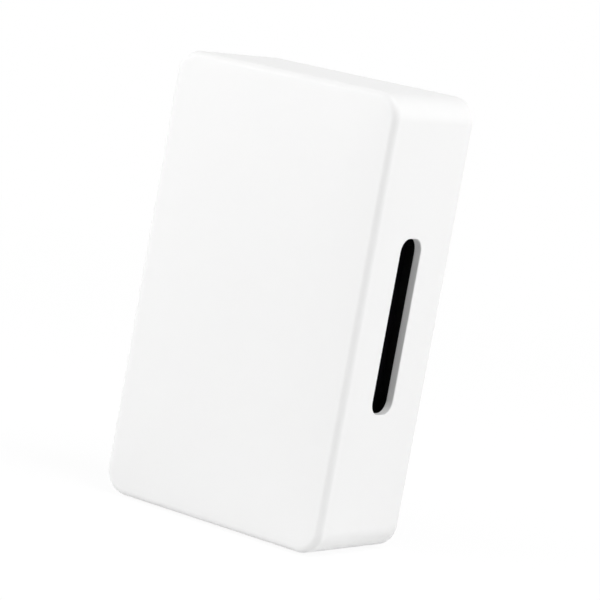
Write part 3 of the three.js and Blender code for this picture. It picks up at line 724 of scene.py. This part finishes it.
def cross_screw(shank):
    piece = turn("screw", 1, (0, 0, 0), -1, screw_rings(shank, 1.45, 1.1, 0.65, pan_head), steps=28)
    for wide, deep in ((0.0016, 0.0004), (0.0004, 0.0016)):
        wing = block("recess", (-wide, -0.0024, -deep), (wide, -0.00066, deep))
        choose("FACE", at(1, -0.00066))
        resize(0.45, 1, 0.45)
        combine(piece, "DIFFERENCE", wing)
    shade(piece, 35)
    return piece


def place_screw(master, shank, node, direction, turned):
    """Puts a copy of a screw where its node is. Its head looks along the direction, and it was
    driven round to an angle in degrees."""
    low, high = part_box(node)
    head = (low + high) / 2
    axis = max(range(3), key=lambda index: abs(direction[index]))
    head[axis] = (low if direction[axis] > 0 else high)[axis] + 0.001 * shank * direction[axis]
    aim_head = Vector((0, -1, 0)).rotation_difference(Vector(direction)).to_matrix().to_4x4()
    driven = Matrix.Rotation(math.radians(turned), 4, "Y")
    piece = copy_of(master, node + "_body", Matrix.Translation(head) @ aim_head @ driven)
    hand_over(piece, zinc, "base", node)


bar_screw = cross_screw(10.4)
place_screw(bar_screw, 10.4, "low_bar_upper_screw", (-1, 0, 0), 20)
place_screw(bar_screw, 10.4, "low_bar_lower_screw", (-1, 0, 0), 71)
place_screw(bar_screw, 10.4, "high_bar_upper_screw", (1, 0, 0), 48)
place_screw(bar_screw, 10.4, "high_bar_lower_screw", (1, 0, 0), 5)
clear(bar_screw)


# ---------------------------------------------------------------- solenoids
# Two plunger solenoids. Each has a coil of enamelled wire on a nylon bobbin, under a strap of zinc-
# plated steel whose ears carry the bobbin's ends. The strap's feet are screwed down to the bosses.

strap_thickness = 0.0015
strap_bend = 0.0012  # inside the bends
strap_foot = 0.009
quarter = math.pi / 2

strap_low, strap_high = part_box("front_yoke")
strap_z = (strap_low.z + strap_high.z) / 2
ear_x = strap_high.x - strap_foot
foot_bend = (ear_x + strap_bend, strap_high.y - strap_thickness - strap_bend)
top_bend = (ear_x - strap_thickness - strap_bend, strap_low.y + strap_thickness + strap_bend)


def bend(x, y, angle):
    """Turns the end of the strap round a line along Z. A spin's angle is clockwise."""
    bpy.ops.mesh.spin(steps=6, angle=angle, center=(x, y, strap_z), axis=(0, 0, 1))


strap = begin(
    "strap",
    bpy.ops.mesh.primitive_plane_add,
    size=1,
    location=(strap_low.x, strap_high.y - strap_thickness / 2, strap_z),
    rotation=(0, quarter, 0),
)
bpy.ops.mesh.select_all(action="SELECT")
resize(
    1,
    strap_thickness,
    strap_high.z - strap_low.z,
    about=(strap_low.x, strap_high.y - strap_thickness / 2, strap_z),
)
extrude(-foot_bend[0] - strap_low.x, 0, 0)
bend(-foot_bend[0], foot_bend[1], quarter)
extrude(0, top_bend[1] - foot_bend[1], 0)
bend(-top_bend[0], top_bend[1], -quarter)
extrude(2 * top_bend[0], 0, 0)
bend(top_bend[0], top_bend[1], -quarter)
extrude(0, foot_bend[1] - top_bend[1], 0)
bend(foot_bend[0], foot_bend[1], quarter)
extrude(strap_high.x - foot_bend[0], 0, 0)
bpy.ops.mesh.select_all(action="SELECT")
bpy.ops.mesh.normals_make_consistent(inside=False)
choose("EDGE", runs(1), lambda edge: abs(edge.verts[0].co.x) > strap_high.x - 2e-5)
round_over(0.0015, 5)
axis_point = middle_of("front_plunger")
strap_bore = turn("bore", 0, (0, *axis_point.yz), 1, [(5.7, -20), (5.7, 20)], steps=48)
combine(strap, "DIFFERENCE", strap_bore)
for side in ("left", "right"):
    screw_middle = middle_of(f"front_yoke_{side}_screw")
    hole = turn("hole", 1, (screw_middle.x, 0, screw_middle.z), -1, [(1.75, 10), (1.75, 16)])
    combine(strap, "DIFFERENCE", hole)
soften(strap, 0.00015)
shade(strap)

# The bobbin: a tube with a flange at each end. Its tube goes on through the strap's ears.
half_bobbin = [(5.4, 13.8), (10.75, 13.8), (11, 14), (11, 15.05), (10.75, 15.3)]
half_bobbin += [(5.4, 15.3), (5.4, 18.05), (5.2, 18.3), (4.5, 18.3), (4.3, 18.1)]
bobbin = turn(
    "bobbin",
    0,
    (0, *axis_point.yz),
    1,
    [*half_bobbin, *((radius, -place) for radius, place in reversed(half_bobbin)), half_bobbin[0]],
    steps=64,
    hollow=True,
)
shade(bobbin)

# The coil: turns of wire laid side by side, so its outside is ribbed.
wire_pitch = 27 / 58
laid_turns = []
for number in range(58):
    place = number * wire_pitch - 13.5
    for share, radius in ((0.0, 9.24), (0.22, 9.35), (0.5, 9.4), (0.78, 9.35)):
        laid_turns.append((radius, place + share * wire_pitch))
coil = turn(
    "coil",
    0,
    (0, *axis_point.yz),
    1,
    [(5.7, -13.5), *laid_turns, (9.24, 13.5), (5.7, 13.5), (5.7, -13.5)],
    steps=48,
    hollow=True,
)
shade(coil, 60)

natural_nylon, nylon = new_finish("natural_nylon", (0.82, 0.78, 0.68), 0.45)
bumps(nylon, noise(nylon, 1800, 2.0), 0.1, 0.0001)
vary(nylon, "Roughness", 0.4 + 0.12 * noise(nylon, 150, 3.0))
vary(
    nylon,
    "Base Color",
    between(nylon, noise(nylon, 70, 3.0), (0.8, 0.75, 0.64), (0.84, 0.8, 0.71)),
)

enamelled, wire_tone = new_finish(
    "enamelled_copper_wire",
    (0.6, 0.25, 0.11),
    0.3,
    metallic=1.0,
    Coat_Weight=0.5,
    Coat_Roughness=0.15,
)
vary(
    wire_tone,
    "Base Color",
    between(
        wire_tone,
        noise(wire_tone, 700, 3.0, (1, 0.05, 0.05)),
        (0.5, 0.18, 0.07),
        (0.68, 0.3, 0.14),
    ),
)
vary(wire_tone, "Roughness", 0.24 + 0.14 * noise(wire_tone, 260, 3.0))

front_to_rear = Matrix.Translation(middle_of("rear_bobbin") - middle_of("front_bobbin"))
for solenoid, shift in (("front", Matrix.Identity(4)), ("rear", front_to_rear)):
    for master, suffix, node, material, slot in (
        (strap, "_strap", "_yoke", zinc, "plated_steel"),
        (bobbin, "_spool", "_bobbin", natural_nylon, "nylon"),
        (coil, "_coil", "_winding", enamelled, "copper_wire"),
    ):
        piece = copy_of(master, solenoid + suffix, shift)
        hand_over(piece, material, "base", solenoid + node)
clear(strap, bobbin, coil)

foot_screw = cross_screw(8.8)
place_screw(foot_screw, 8.8, "front_yoke_left_screw", (0, -1, 0), 12)
place_screw(foot_screw, 8.8, "front_yoke_right_screw", (0, -1, 0), 63)
place_screw(foot_screw, 8.8, "rear_yoke_left_screw", (0, -1, 0), 38)
place_screw(foot_screw, 8.8, "rear_yoke_right_screw", (0, -1, 0), 81)
clear(foot_screw)


# ---------------------------------------------------------------- plungers
# A ground steel rod slides in each bobbin. It has a long nylon tip that strikes the right bar, and
# at its other end a flanged tip. The front one's nose strikes the left bar as the spring throws it
# back.

ground_steel, ground = new_finish("ground_steel", (0.66, 0.66, 0.67), 0.26, metallic=1.0)
bumps(ground, noise(ground, 1400, 3.0, (1, 0.02, 0.02)), 0.12, 0.00006)
vary(ground, "Roughness", 0.2 + 0.14 * noise(ground, 900, 3.0, (1, 0.05, 0.05)))

for solenoid in ("front", "rear"):
    axis_point = middle_of(solenoid + "_plunger")
    rod_low, rod_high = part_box(solenoid + "_plunger")
    line = (rod_low.x, axis_point.y, axis_point.z)
    rod_end = [(1.6, 5.3), (1.6, 0.2), (1.8, 0), (3.4, 0), (3.6, 0.08), (4, 0.6)]
    rod_rings = [*rod_end, *((radius, 40 - place) for radius, place in reversed(rod_end))]
    rod = turn(solenoid + "_rod", 0, line, 1, rod_rings, steps=48)
    shade(rod, 35)
    hand_over(rod, ground_steel, solenoid + "_striker", solenoid + "_plunger")

    line = (rod_high.x + seat_gap, axis_point.y, axis_point.z)
    length = 1000 * (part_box(solenoid + "_strike_tip")[1].x - line[0])
    spigot = [(1.0, -5), (1.3, -4.7), (1.3, 0)]
    shaft = [(3.2, 0), (3.4, 0.2), (3.4, 0.8), (3.2, 1.0), (2.5, 1.3), (2.25, 1.6), (2.2, 2.0)]
    nose = [(2.2, 1.9), (2.12, 1.3), (1.9, 0.75), (1.5, 0.35), (0.95, 0.1), (0.3, 0)]
    tip_rings = [*spigot, *shaft, *((radius, length - place) for radius, place in nose)]
    tip = turn(solenoid + "_striking_tip", 0, line, 1, tip_rings, steps=40)
    shade(tip, 35)
    hand_over(tip, natural_nylon, solenoid + "_striker", solenoid + "_strike_tip")

    line = (rod_low.x - seat_gap, axis_point.y, axis_point.z)
    back_rings = [*spigot, (5.1, 0), (5.3, 0.2), (5.3, 1.2), (5.1, 1.4)]
    if solenoid == "front":
        back_rings += [(3.0, 1.4), (2.7, 1.6), (2.4, 2.1), (2.1, 2.5)]
        back_rings += [(1.6, 2.76), (1.0, 2.87), (0.3, 2.9)]
    back_tip = turn(solenoid + "_flanged_tip", 0, line, -1, back_rings, steps=48)
    shade(back_tip, 35)
    hand_over(back_tip, natural_nylon, solenoid + "_striker", solenoid + "_return_tip")


# ---------------------------------------------------------------- springs
# A compression spring of drawn wire round each plunger, between the bobbin's tube and the flanged
# tip. Its end turns are closed up, and the turns between them are open at one even pitch. In the
# chime these turns open and close as the plunger slides, but here the spring is built at rest, on
# no body, and stays so.


def wire(name, points, radius, sides=3, smooth=True):
    """A round wire along points. A smooth one curves through them; the other goes straight."""
    if bpy.context.mode != "OBJECT":
        bpy.ops.object.mode_set(mode="OBJECT")
    curve = bpy.data.curves.new(name, "CURVE")
    curve.dimensions = "3D"
    curve.bevel_depth = radius
    curve.bevel_resolution = sides
    curve.use_fill_caps = True
    curve.resolution_u = 10
    spline = curve.splines.new("BEZIER" if smooth else "POLY")
    if smooth:
        spline.bezier_points.add(len(points) - 1)
        for knot, point in zip(spline.bezier_points, points):
            knot.co = point
            knot.handle_left_type = knot.handle_right_type = "AUTO"
    else:
        spline.points.add(len(points) - 1)
        for knot, point in zip(spline.points, points):
            knot.co = (*point, 1)
    piece = bpy.data.objects.new(name, curve)
    bpy.context.scene.collection.objects.link(piece)
    bpy.ops.object.select_all(action="DESELECT")
    piece.select_set(True)
    bpy.context.view_layer.objects.active = piece
    bpy.ops.object.convert(target="MESH")
    piece = bpy.context.object
    bpy.ops.object.mode_set(mode="EDIT")
    bpy.ops.mesh.select_all(action="SELECT")
    bpy.ops.mesh.remove_doubles(threshold=1e-6)
    bpy.ops.mesh.normals_make_consistent(inside=False)
    bpy.ops.object.mode_set(mode="OBJECT")
    return piece


drawn_wire, drawn = new_finish("drawn_spring_wire", (0.6, 0.6, 0.6), 0.3, metallic=1.0)
vary(drawn, "Roughness", 0.24 + 0.14 * noise(drawn, 500, 3.0))
vary(
    drawn,
    "Base Color",
    between(drawn, noise(drawn, 200, 3.0), (0.5, 0.5, 0.5), (0.66, 0.66, 0.66)),
)

coil_radius = 0.00455
wire_radius = 0.00025
closed_turns = 1.0
open_turns = 4.5
steps_a_turn = 28
for solenoid in ("front", "rear"):
    spring_low, spring_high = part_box(solenoid + "_spring")
    axis_point = middle_of(solenoid + "_plunger")
    first_x, last_x = spring_low.x + wire_radius, spring_high.x - wire_radius
    closed_run = closed_turns * 2 * wire_radius
    open_pitch = (last_x - first_x - 2 * closed_run) / open_turns
    points = []
    all_turns = 2 * closed_turns + open_turns
    for step in range(round(all_turns * steps_a_turn) + 1):
        turns = step / steps_a_turn
        opened = min(max(turns - closed_turns, 0), open_turns)
        along = opened * open_pitch + (turns - opened) * 2 * wire_radius
        angle = 2 * math.pi * turns
        across = Vector((0, math.cos(angle), math.sin(angle))) * coil_radius
        points.append(Vector((first_x + along, axis_point.y, axis_point.z)) + across)
    spring = wire(solenoid + "_coil_spring", points, wire_radius, smooth=False)
    shade(spring, 60)
    spring.data.materials.append(drawn_wire)
    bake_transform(spring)
    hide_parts(solenoid + "_spring")


# ---------------------------------------------------------------- stop pad
# A disc of grey felt glued to its wall, which quietens the rear plunger's return.

felt_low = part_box("rear_stop_pad")[0]
disc = [(4.0, 0), (4.9, 0.02), (5.15, 0.15), (5.25, 0.45), (5.25, 1.05)]
disc += [(5.15, 1.33), (4.9, 1.48), (4.0, 1.5), (2.5, 1.5), (0.8, 1.5)]
felt = turn(
    "rear_felt_disc",
    0,
    (felt_low.x, *middle_of("rear_stop_pad").yz),
    1,
    disc,
    steps=64,
)
shade(felt, 60)
grey_felt, fibres = new_finish("grey_felt", (0.15, 0.145, 0.14), 0.95)
tangle = noise(fibres, 2600, 6.0)
bumps(fibres, tangle, 0.9, 0.0003)
vary(fibres, "Base Color", between(fibres, tangle, (0.09, 0.088, 0.085), (0.22, 0.212, 0.205)))
hand_over(felt, grey_felt, "base", "rear_stop_pad")


# ---------------------------------------------------------------- terminal block
# A black moulded block on two screwed ears, with a wall on each side of its three terminals. At
# each terminal a brass screw goes down through a clamp washer and a lug plate, and the wire is
# clamped between the two.

block_low, block_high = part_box("terminal_block")
ear_length = 0.0084
ear_thickness = 0.0032
barrier_height = 0.0056
barrier_half = 0.0008
deck_y = block_low.y + barrier_height
body_x = block_high.x - ear_length
terminal_pitch = middle_of("rear_terminal_screw").x

terminal_body = rounded_block(
    "terminal_block_moulding",
    (-body_x, block_high.y, block_low.z),
    (body_x, deck_y, block_high.z),
    0.0005,
)
ears = block(
    "ears",
    (block_low.x, deck_y + ear_thickness, block_low.z + 0.002),
    (block_high.x, deck_y + 0.0001, block_high.z - 0.002),
)
choose("EDGE", runs(1))
round_over(0.0025, 6)
choose("EDGE", at(1, deck_y + 0.0001), crisp)
round_over(0.0003, 2)
combine(terminal_body, "UNION", ears)
for number in range(4):
    x = (2 * number - 3) * body_x / 3
    barrier = block(
        "barrier",
        (x - barrier_half, deck_y + 0.001, block_low.z + 0.0002),
        (x + barrier_half, block_low.y, block_high.z - 0.0002),
    )
    choose("EDGE", at(1, block_low.y))
    round_over(0.0005)
    choose("EDGE", runs(1))
    round_over(0.00035, 2)
    combine(terminal_body, "UNION", barrier)
for node in ("terminal_block_left_screw", "terminal_block_right_screw"):
    middle = middle_of(node)
    hole = turn("hole", 1, (middle.x, 0, middle.z), -1, [(1.75, 5), (1.75, 12)])
    combine(terminal_body, "DIFFERENCE", hole)
for terminal in ("front", "trans", "rear"):
    middle = middle_of(terminal + "_terminal_screw")
    hole = turn("hole", 1, (middle.x, 0, middle.z), -1, [(2, 3.6), (2, 12)])
    combine(terminal_body, "DIFFERENCE", hole)
shade(terminal_body)
hand_over(terminal_body, black_abs, "base", "terminal_block")

block_screw = cross_screw(7.6)
place_screw(block_screw, 7.6, "terminal_block_left_screw", (0, -1, 0), 27)
place_screw(block_screw, 7.6, "terminal_block_right_screw", (0, -1, 0), 55)
clear(block_screw)

bright_brass, brass_tone = new_finish("bright_brass", (0.65, 0.45, 0.16), 0.28, metallic=1.0)
bumps(brass_tone, noise(brass_tone, 1600, 3.0), 0.1, 0.00006)
vary(brass_tone, "Roughness", 0.22 + 0.14 * noise(brass_tone, 260, 4.0))
vary(
    brass_tone,
    "Base Color",
    between(brass_tone, noise(brass_tone, 140, 4.0), (0.56, 0.37, 0.12), (0.7, 0.5, 0.2)),
)

# The middle terminal's plate, washer and screw, which the other two are copies of.
lug_low, lug_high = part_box("trans_lug_plate")
plate_z = middle_of("trans_terminal_screw").z
lug_half = 0.0018
lug_plate = block("lug_plate", (lug_low.x, lug_low.y, 2 * plate_z - lug_high.z), lug_high)
lug = block("lug", (-lug_half, lug_low.y, lug_low.z), (lug_half, lug_high.y, plate_z))
combine(lug_plate, "UNION", lug)
bpy.ops.object.mode_set(mode="EDIT")
bpy.ops.mesh.select_all(action="SELECT")
bpy.ops.mesh.dissolve_limited(angle_limit=math.radians(1))
choose("EDGE", runs(1), crisp)
round_over(0.0007, 4)
hole = turn("hole", 1, (0, 0, plate_z), -1, [(2, 9), (2, 14)], steps=40)
combine(lug_plate, "DIFFERENCE", hole)
soften(lug_plate, 0.0001)
shade(lug_plate)

washer_low, washer_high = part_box("trans_clamp_washer")
clamp = block("clamp", washer_low, washer_high)
choose("EDGE", runs(1))
round_over(0.001, 5)
hole = turn("hole", 1, (0, 0, plate_z), -1, [(2, 9), (2, 16)], steps=40)
combine(clamp, "DIFFERENCE", hole)
soften(clamp, 0.0002)
shade(clamp)

head_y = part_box("trans_terminal_screw")[1].y - 0.0076
cheese_head = [(3.15, 0), (3.3, 0.15), (3.3, 1.5), (3.2, 1.85), (2.9, 2.1), (2.4, 2.2), (0.3, 2.2)]
binding_screw = turn(
    "binding_screw",
    1,
    (0, head_y, plate_z),
    -1,
    screw_rings(7.6, 1.7, 1.3, 0.8, cheese_head),
    steps=40,
)
drive_half = 0.00045  # half of the driver slot's width
slot = block(
    "slot",
    (-0.005, head_y - 0.003, plate_z - drive_half),
    (0.005, head_y - 0.0009, plate_z + drive_half),
)
combine(binding_screw, "DIFFERENCE", slot)
bpy.ops.object.mode_set(mode="EDIT")
choose("EDGE", crisp, runs(0), lambda edge: edge.verts[0].co.y < head_y - 0.001)
round_over(0.00008, 2)
shade(binding_screw, 35)

for terminal, place in (("front", -1), ("trans", 0), ("rear", 1)):
    shift = Matrix.Translation((place * terminal_pitch, 0, 0))
    turning = terminal + "_screw"
    for master, suffix, node, material, body, slot_name in (
        (lug_plate, "_lug_strip", "_lug_plate", bright_brass, "base", "brass"),
        (clamp, "_square_washer", "_clamp_washer", zinc, terminal + "_clamp", "plated_steel"),
        (binding_screw, "_binding_screw", "_terminal_screw", bright_brass, turning, "brass"),
    ):
        piece = copy_of(master, terminal + suffix, shift)
        hand_over(piece, material, body, terminal + node)
clear(lug_plate, clamp, binding_screw)


# ---------------------------------------------------------------- coil leads
# Four short sleeved wires that join the coils to the terminals. Each leaves the back of its coil,
# runs along the base plate, and rises to be soldered behind its lug.

lead_radius = 0.0006
lead_bend = 0.003
lead_y = floor_y - 0.0016 - lead_radius
coil_back = middle_of("front_winding").y + 0.0097
lug_back = lug_high.y + seat_gap
lug_z = lug_low.z + 0.002
front_z, rear_z = middle_of("front_winding").z, middle_of("rear_winding").z
red = ("red_sleeve", (0.4, 0.02, 0.015), (0.33, 0.015, 0.012))
blue = ("blue_sleeve", (0.03, 0.08, 0.28), (0.022, 0.06, 0.22))
sleeves = {}
for name, colour, worn in (red, blue):
    sleeves[name], pvc = new_finish(name, colour, 0.42)
    vary(pvc, "Base Color", between(pvc, noise(pvc, 300, 3.0), colour, worn))
    vary(pvc, "Roughness", 0.36 + 0.14 * noise(pvc, 500, 3.0))
    bumps(pvc, noise(pvc, 1500, 2.0), 0.1, 0.00006)

coil_inset = 0.0037  # from a winding's end in to its lead
front_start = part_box("front_winding")[0].x + coil_inset
rear_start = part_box("rear_winding")[1].x - coil_inset
for node, sleeve, start_x, start_z, end_x in (
    ("front_coil_lead", "red_sleeve", front_start, front_z, -terminal_pitch),
    ("front_common_lead", "blue_sleeve", 0.0034, front_z, 0.00105),
    ("rear_common_lead", "blue_sleeve", -0.0034, rear_z, -0.00105),
    ("rear_coil_lead", "red_sleeve", rear_start, rear_z, terminal_pitch),
):
    route = [
        (start_x, coil_back, start_z),
        (start_x, lead_y - lead_bend, start_z),
        (start_x, lead_y, start_z + lead_bend),
        (start_x, lead_y, start_z + 2 * lead_bend),
        (end_x, lead_y, lug_z - 3 * lead_bend),
        (end_x, lead_y, lug_z - lead_bend),
        (end_x, lead_y - lead_bend, lug_z),
        (end_x, lug_back, lug_z),
    ]
    lead = wire(node + "_sleeve", route, lead_radius)
    shade(lead, 50)
    hand_over(lead, sleeves[sleeve], "base", node)


# ---------------------------------------------------------------- cover
# A tall round-cornered lid of satin white ABS with a sound slot in each side. It is injection
# moulded from the front with a little draft, and its rim grips the crush ribs of the base plate.

cover_low, cover_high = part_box("cover")
cover_wall = 0.003
cover_corner = 0.0092
cover_draft = 0.0005
front_crown = 0.0006
front_edge = 0.0026
inner_edge = 0.0012
slot_width = 0.0131
slot_length = 0.0633
slot_corner = 0.0049
slot_edge = 0.0004
slot_middle = Vector((0, -0.0252, 0.0004))
stop_rib_half = 0.0009
stop_rib_reach = 0.0034
stop_rib_inset = 0.022  # from the cover's corner

rim = cover_high.y
front = cover_low.y + front_crown
cover_width, cover_height = cover_high.x - cover_low.x, cover_high.z - cover_low.z
front_shares = [1 - 2 * cover_draft / size for size in (cover_width, cover_height)]

cover = block("cover_shell", (cover_low.x, front, cover_low.z), cover_high)
choose("EDGE", runs(1))
round_over(cover_corner, 20)
choose("FACE", at(1, front))
resize(front_shares[0], 1, front_shares[1])
choose("EDGE", at(1, front))
round_over(front_edge, 12)

# The front is crowned: nearly flat in the middle, and falling away towards its edges.
choose("FACE", at(1, front))
ring = 1
for share in (0.98, 0.95, 0.91, 0.86, 0.79, 0.7, 0.58, 0.44, 0.3):
    extrude(0, -front_crown * (ring**4 - share**4), 0)
    resize(share / ring, 1, share / ring)
    ring = share

# The hollow behind it.
ceiling = front + cover_wall
choose("FACE", at(1, rim))
bpy.ops.mesh.inset(thickness=cover_wall)
extrude(0, ceiling - rim, 0)
resize(front_shares[0], 1, front_shares[1])
choose("EDGE", at(1, ceiling))
round_over(inner_edge, 5)

# The sound slots, cut through both sides at once. A line across the middle of the cover's mesh
# keeps each side's face simple where its slot goes through.
choose("FACE")
bpy.ops.mesh.bisect(plane_co=(0, 0, slot_middle.z), plane_no=(0, 0, 1))
slot_half = Vector((cover_high.x + 0.005, slot_width / 2, slot_length / 2))
cutter = block("slot_cutter", slot_middle - slot_half, slot_middle + slot_half)
choose("EDGE", runs(0))
round_over(slot_corner, 14)
combine(cover, "DIFFERENCE", cutter)


def on_slot_rim(edge):
    """A test for the edges where the slots come out of the side walls."""
    for corner in edge.verts:
        beyond = [
            max(abs((corner.co - slot_middle)[axis]) - slot_half[axis] + slot_corner, 0)
            for axis in (1, 2)
        ]
        if abs(math.hypot(*beyond) - slot_corner) > 2e-5 or max(beyond) > slot_corner + 2e-5:
            return False
    return abs(edge.verts[0].co.x - edge.verts[1].co.x) < 3e-4


bpy.ops.object.select_all(action="DESELECT")
cover.select_set(True)
bpy.context.view_layer.objects.active = cover
bpy.ops.object.mode_set(mode="EDIT")
choose("EDGE", on_slot_rim)
round_over(slot_edge)

# Ribs inside its walls, which come down on the tray's edge and stop the cover there.
rib_low = -edge_height - seat_gap
rib_high = front + cover_wall / 2
for side in (-1, 1):
    for end in (-1, 1):
        wall_x = side * (cover_high.x - 0.75 * cover_wall - cover_draft)
        wall_z = end * (cover_high.z - 0.75 * cover_wall - cover_draft)
        along_x = side * (cover_high.x - stop_rib_inset)
        along_z = end * (cover_high.z - stop_rib_inset)
        side_rib = rounded_block(
            "stop_rib",
            (wall_x, rib_low, along_z - stop_rib_half),
            (wall_x - side * stop_rib_reach, rib_high, along_z + stop_rib_half),
            0.0003,
        )
        combine(cover, "UNION", side_rib)
        end_rib = rounded_block(
            "stop_rib",
            (along_x - stop_rib_half, rib_low, wall_z),
            (along_x + stop_rib_half, rib_high, wall_z - end * stop_rib_reach),
            0.0003,
        )
        combine(cover, "UNION", end_rib)
shade(cover)

white_abs, plastic = new_finish("satin_white_abs", (0.88, 0.88, 0.878), 0.42)
bumps(plastic, noise(plastic, 2600), 0.05, 0.0001)
vary(plastic, "Roughness", 0.39 + 0.06 * noise(plastic, 60, 3.0))
hand_over(cover, white_abs, "cover_shell", "cover")


# ---------------------------------------------------------------- closing

bpy.context.scene.view_settings.view_transform = "Standard"
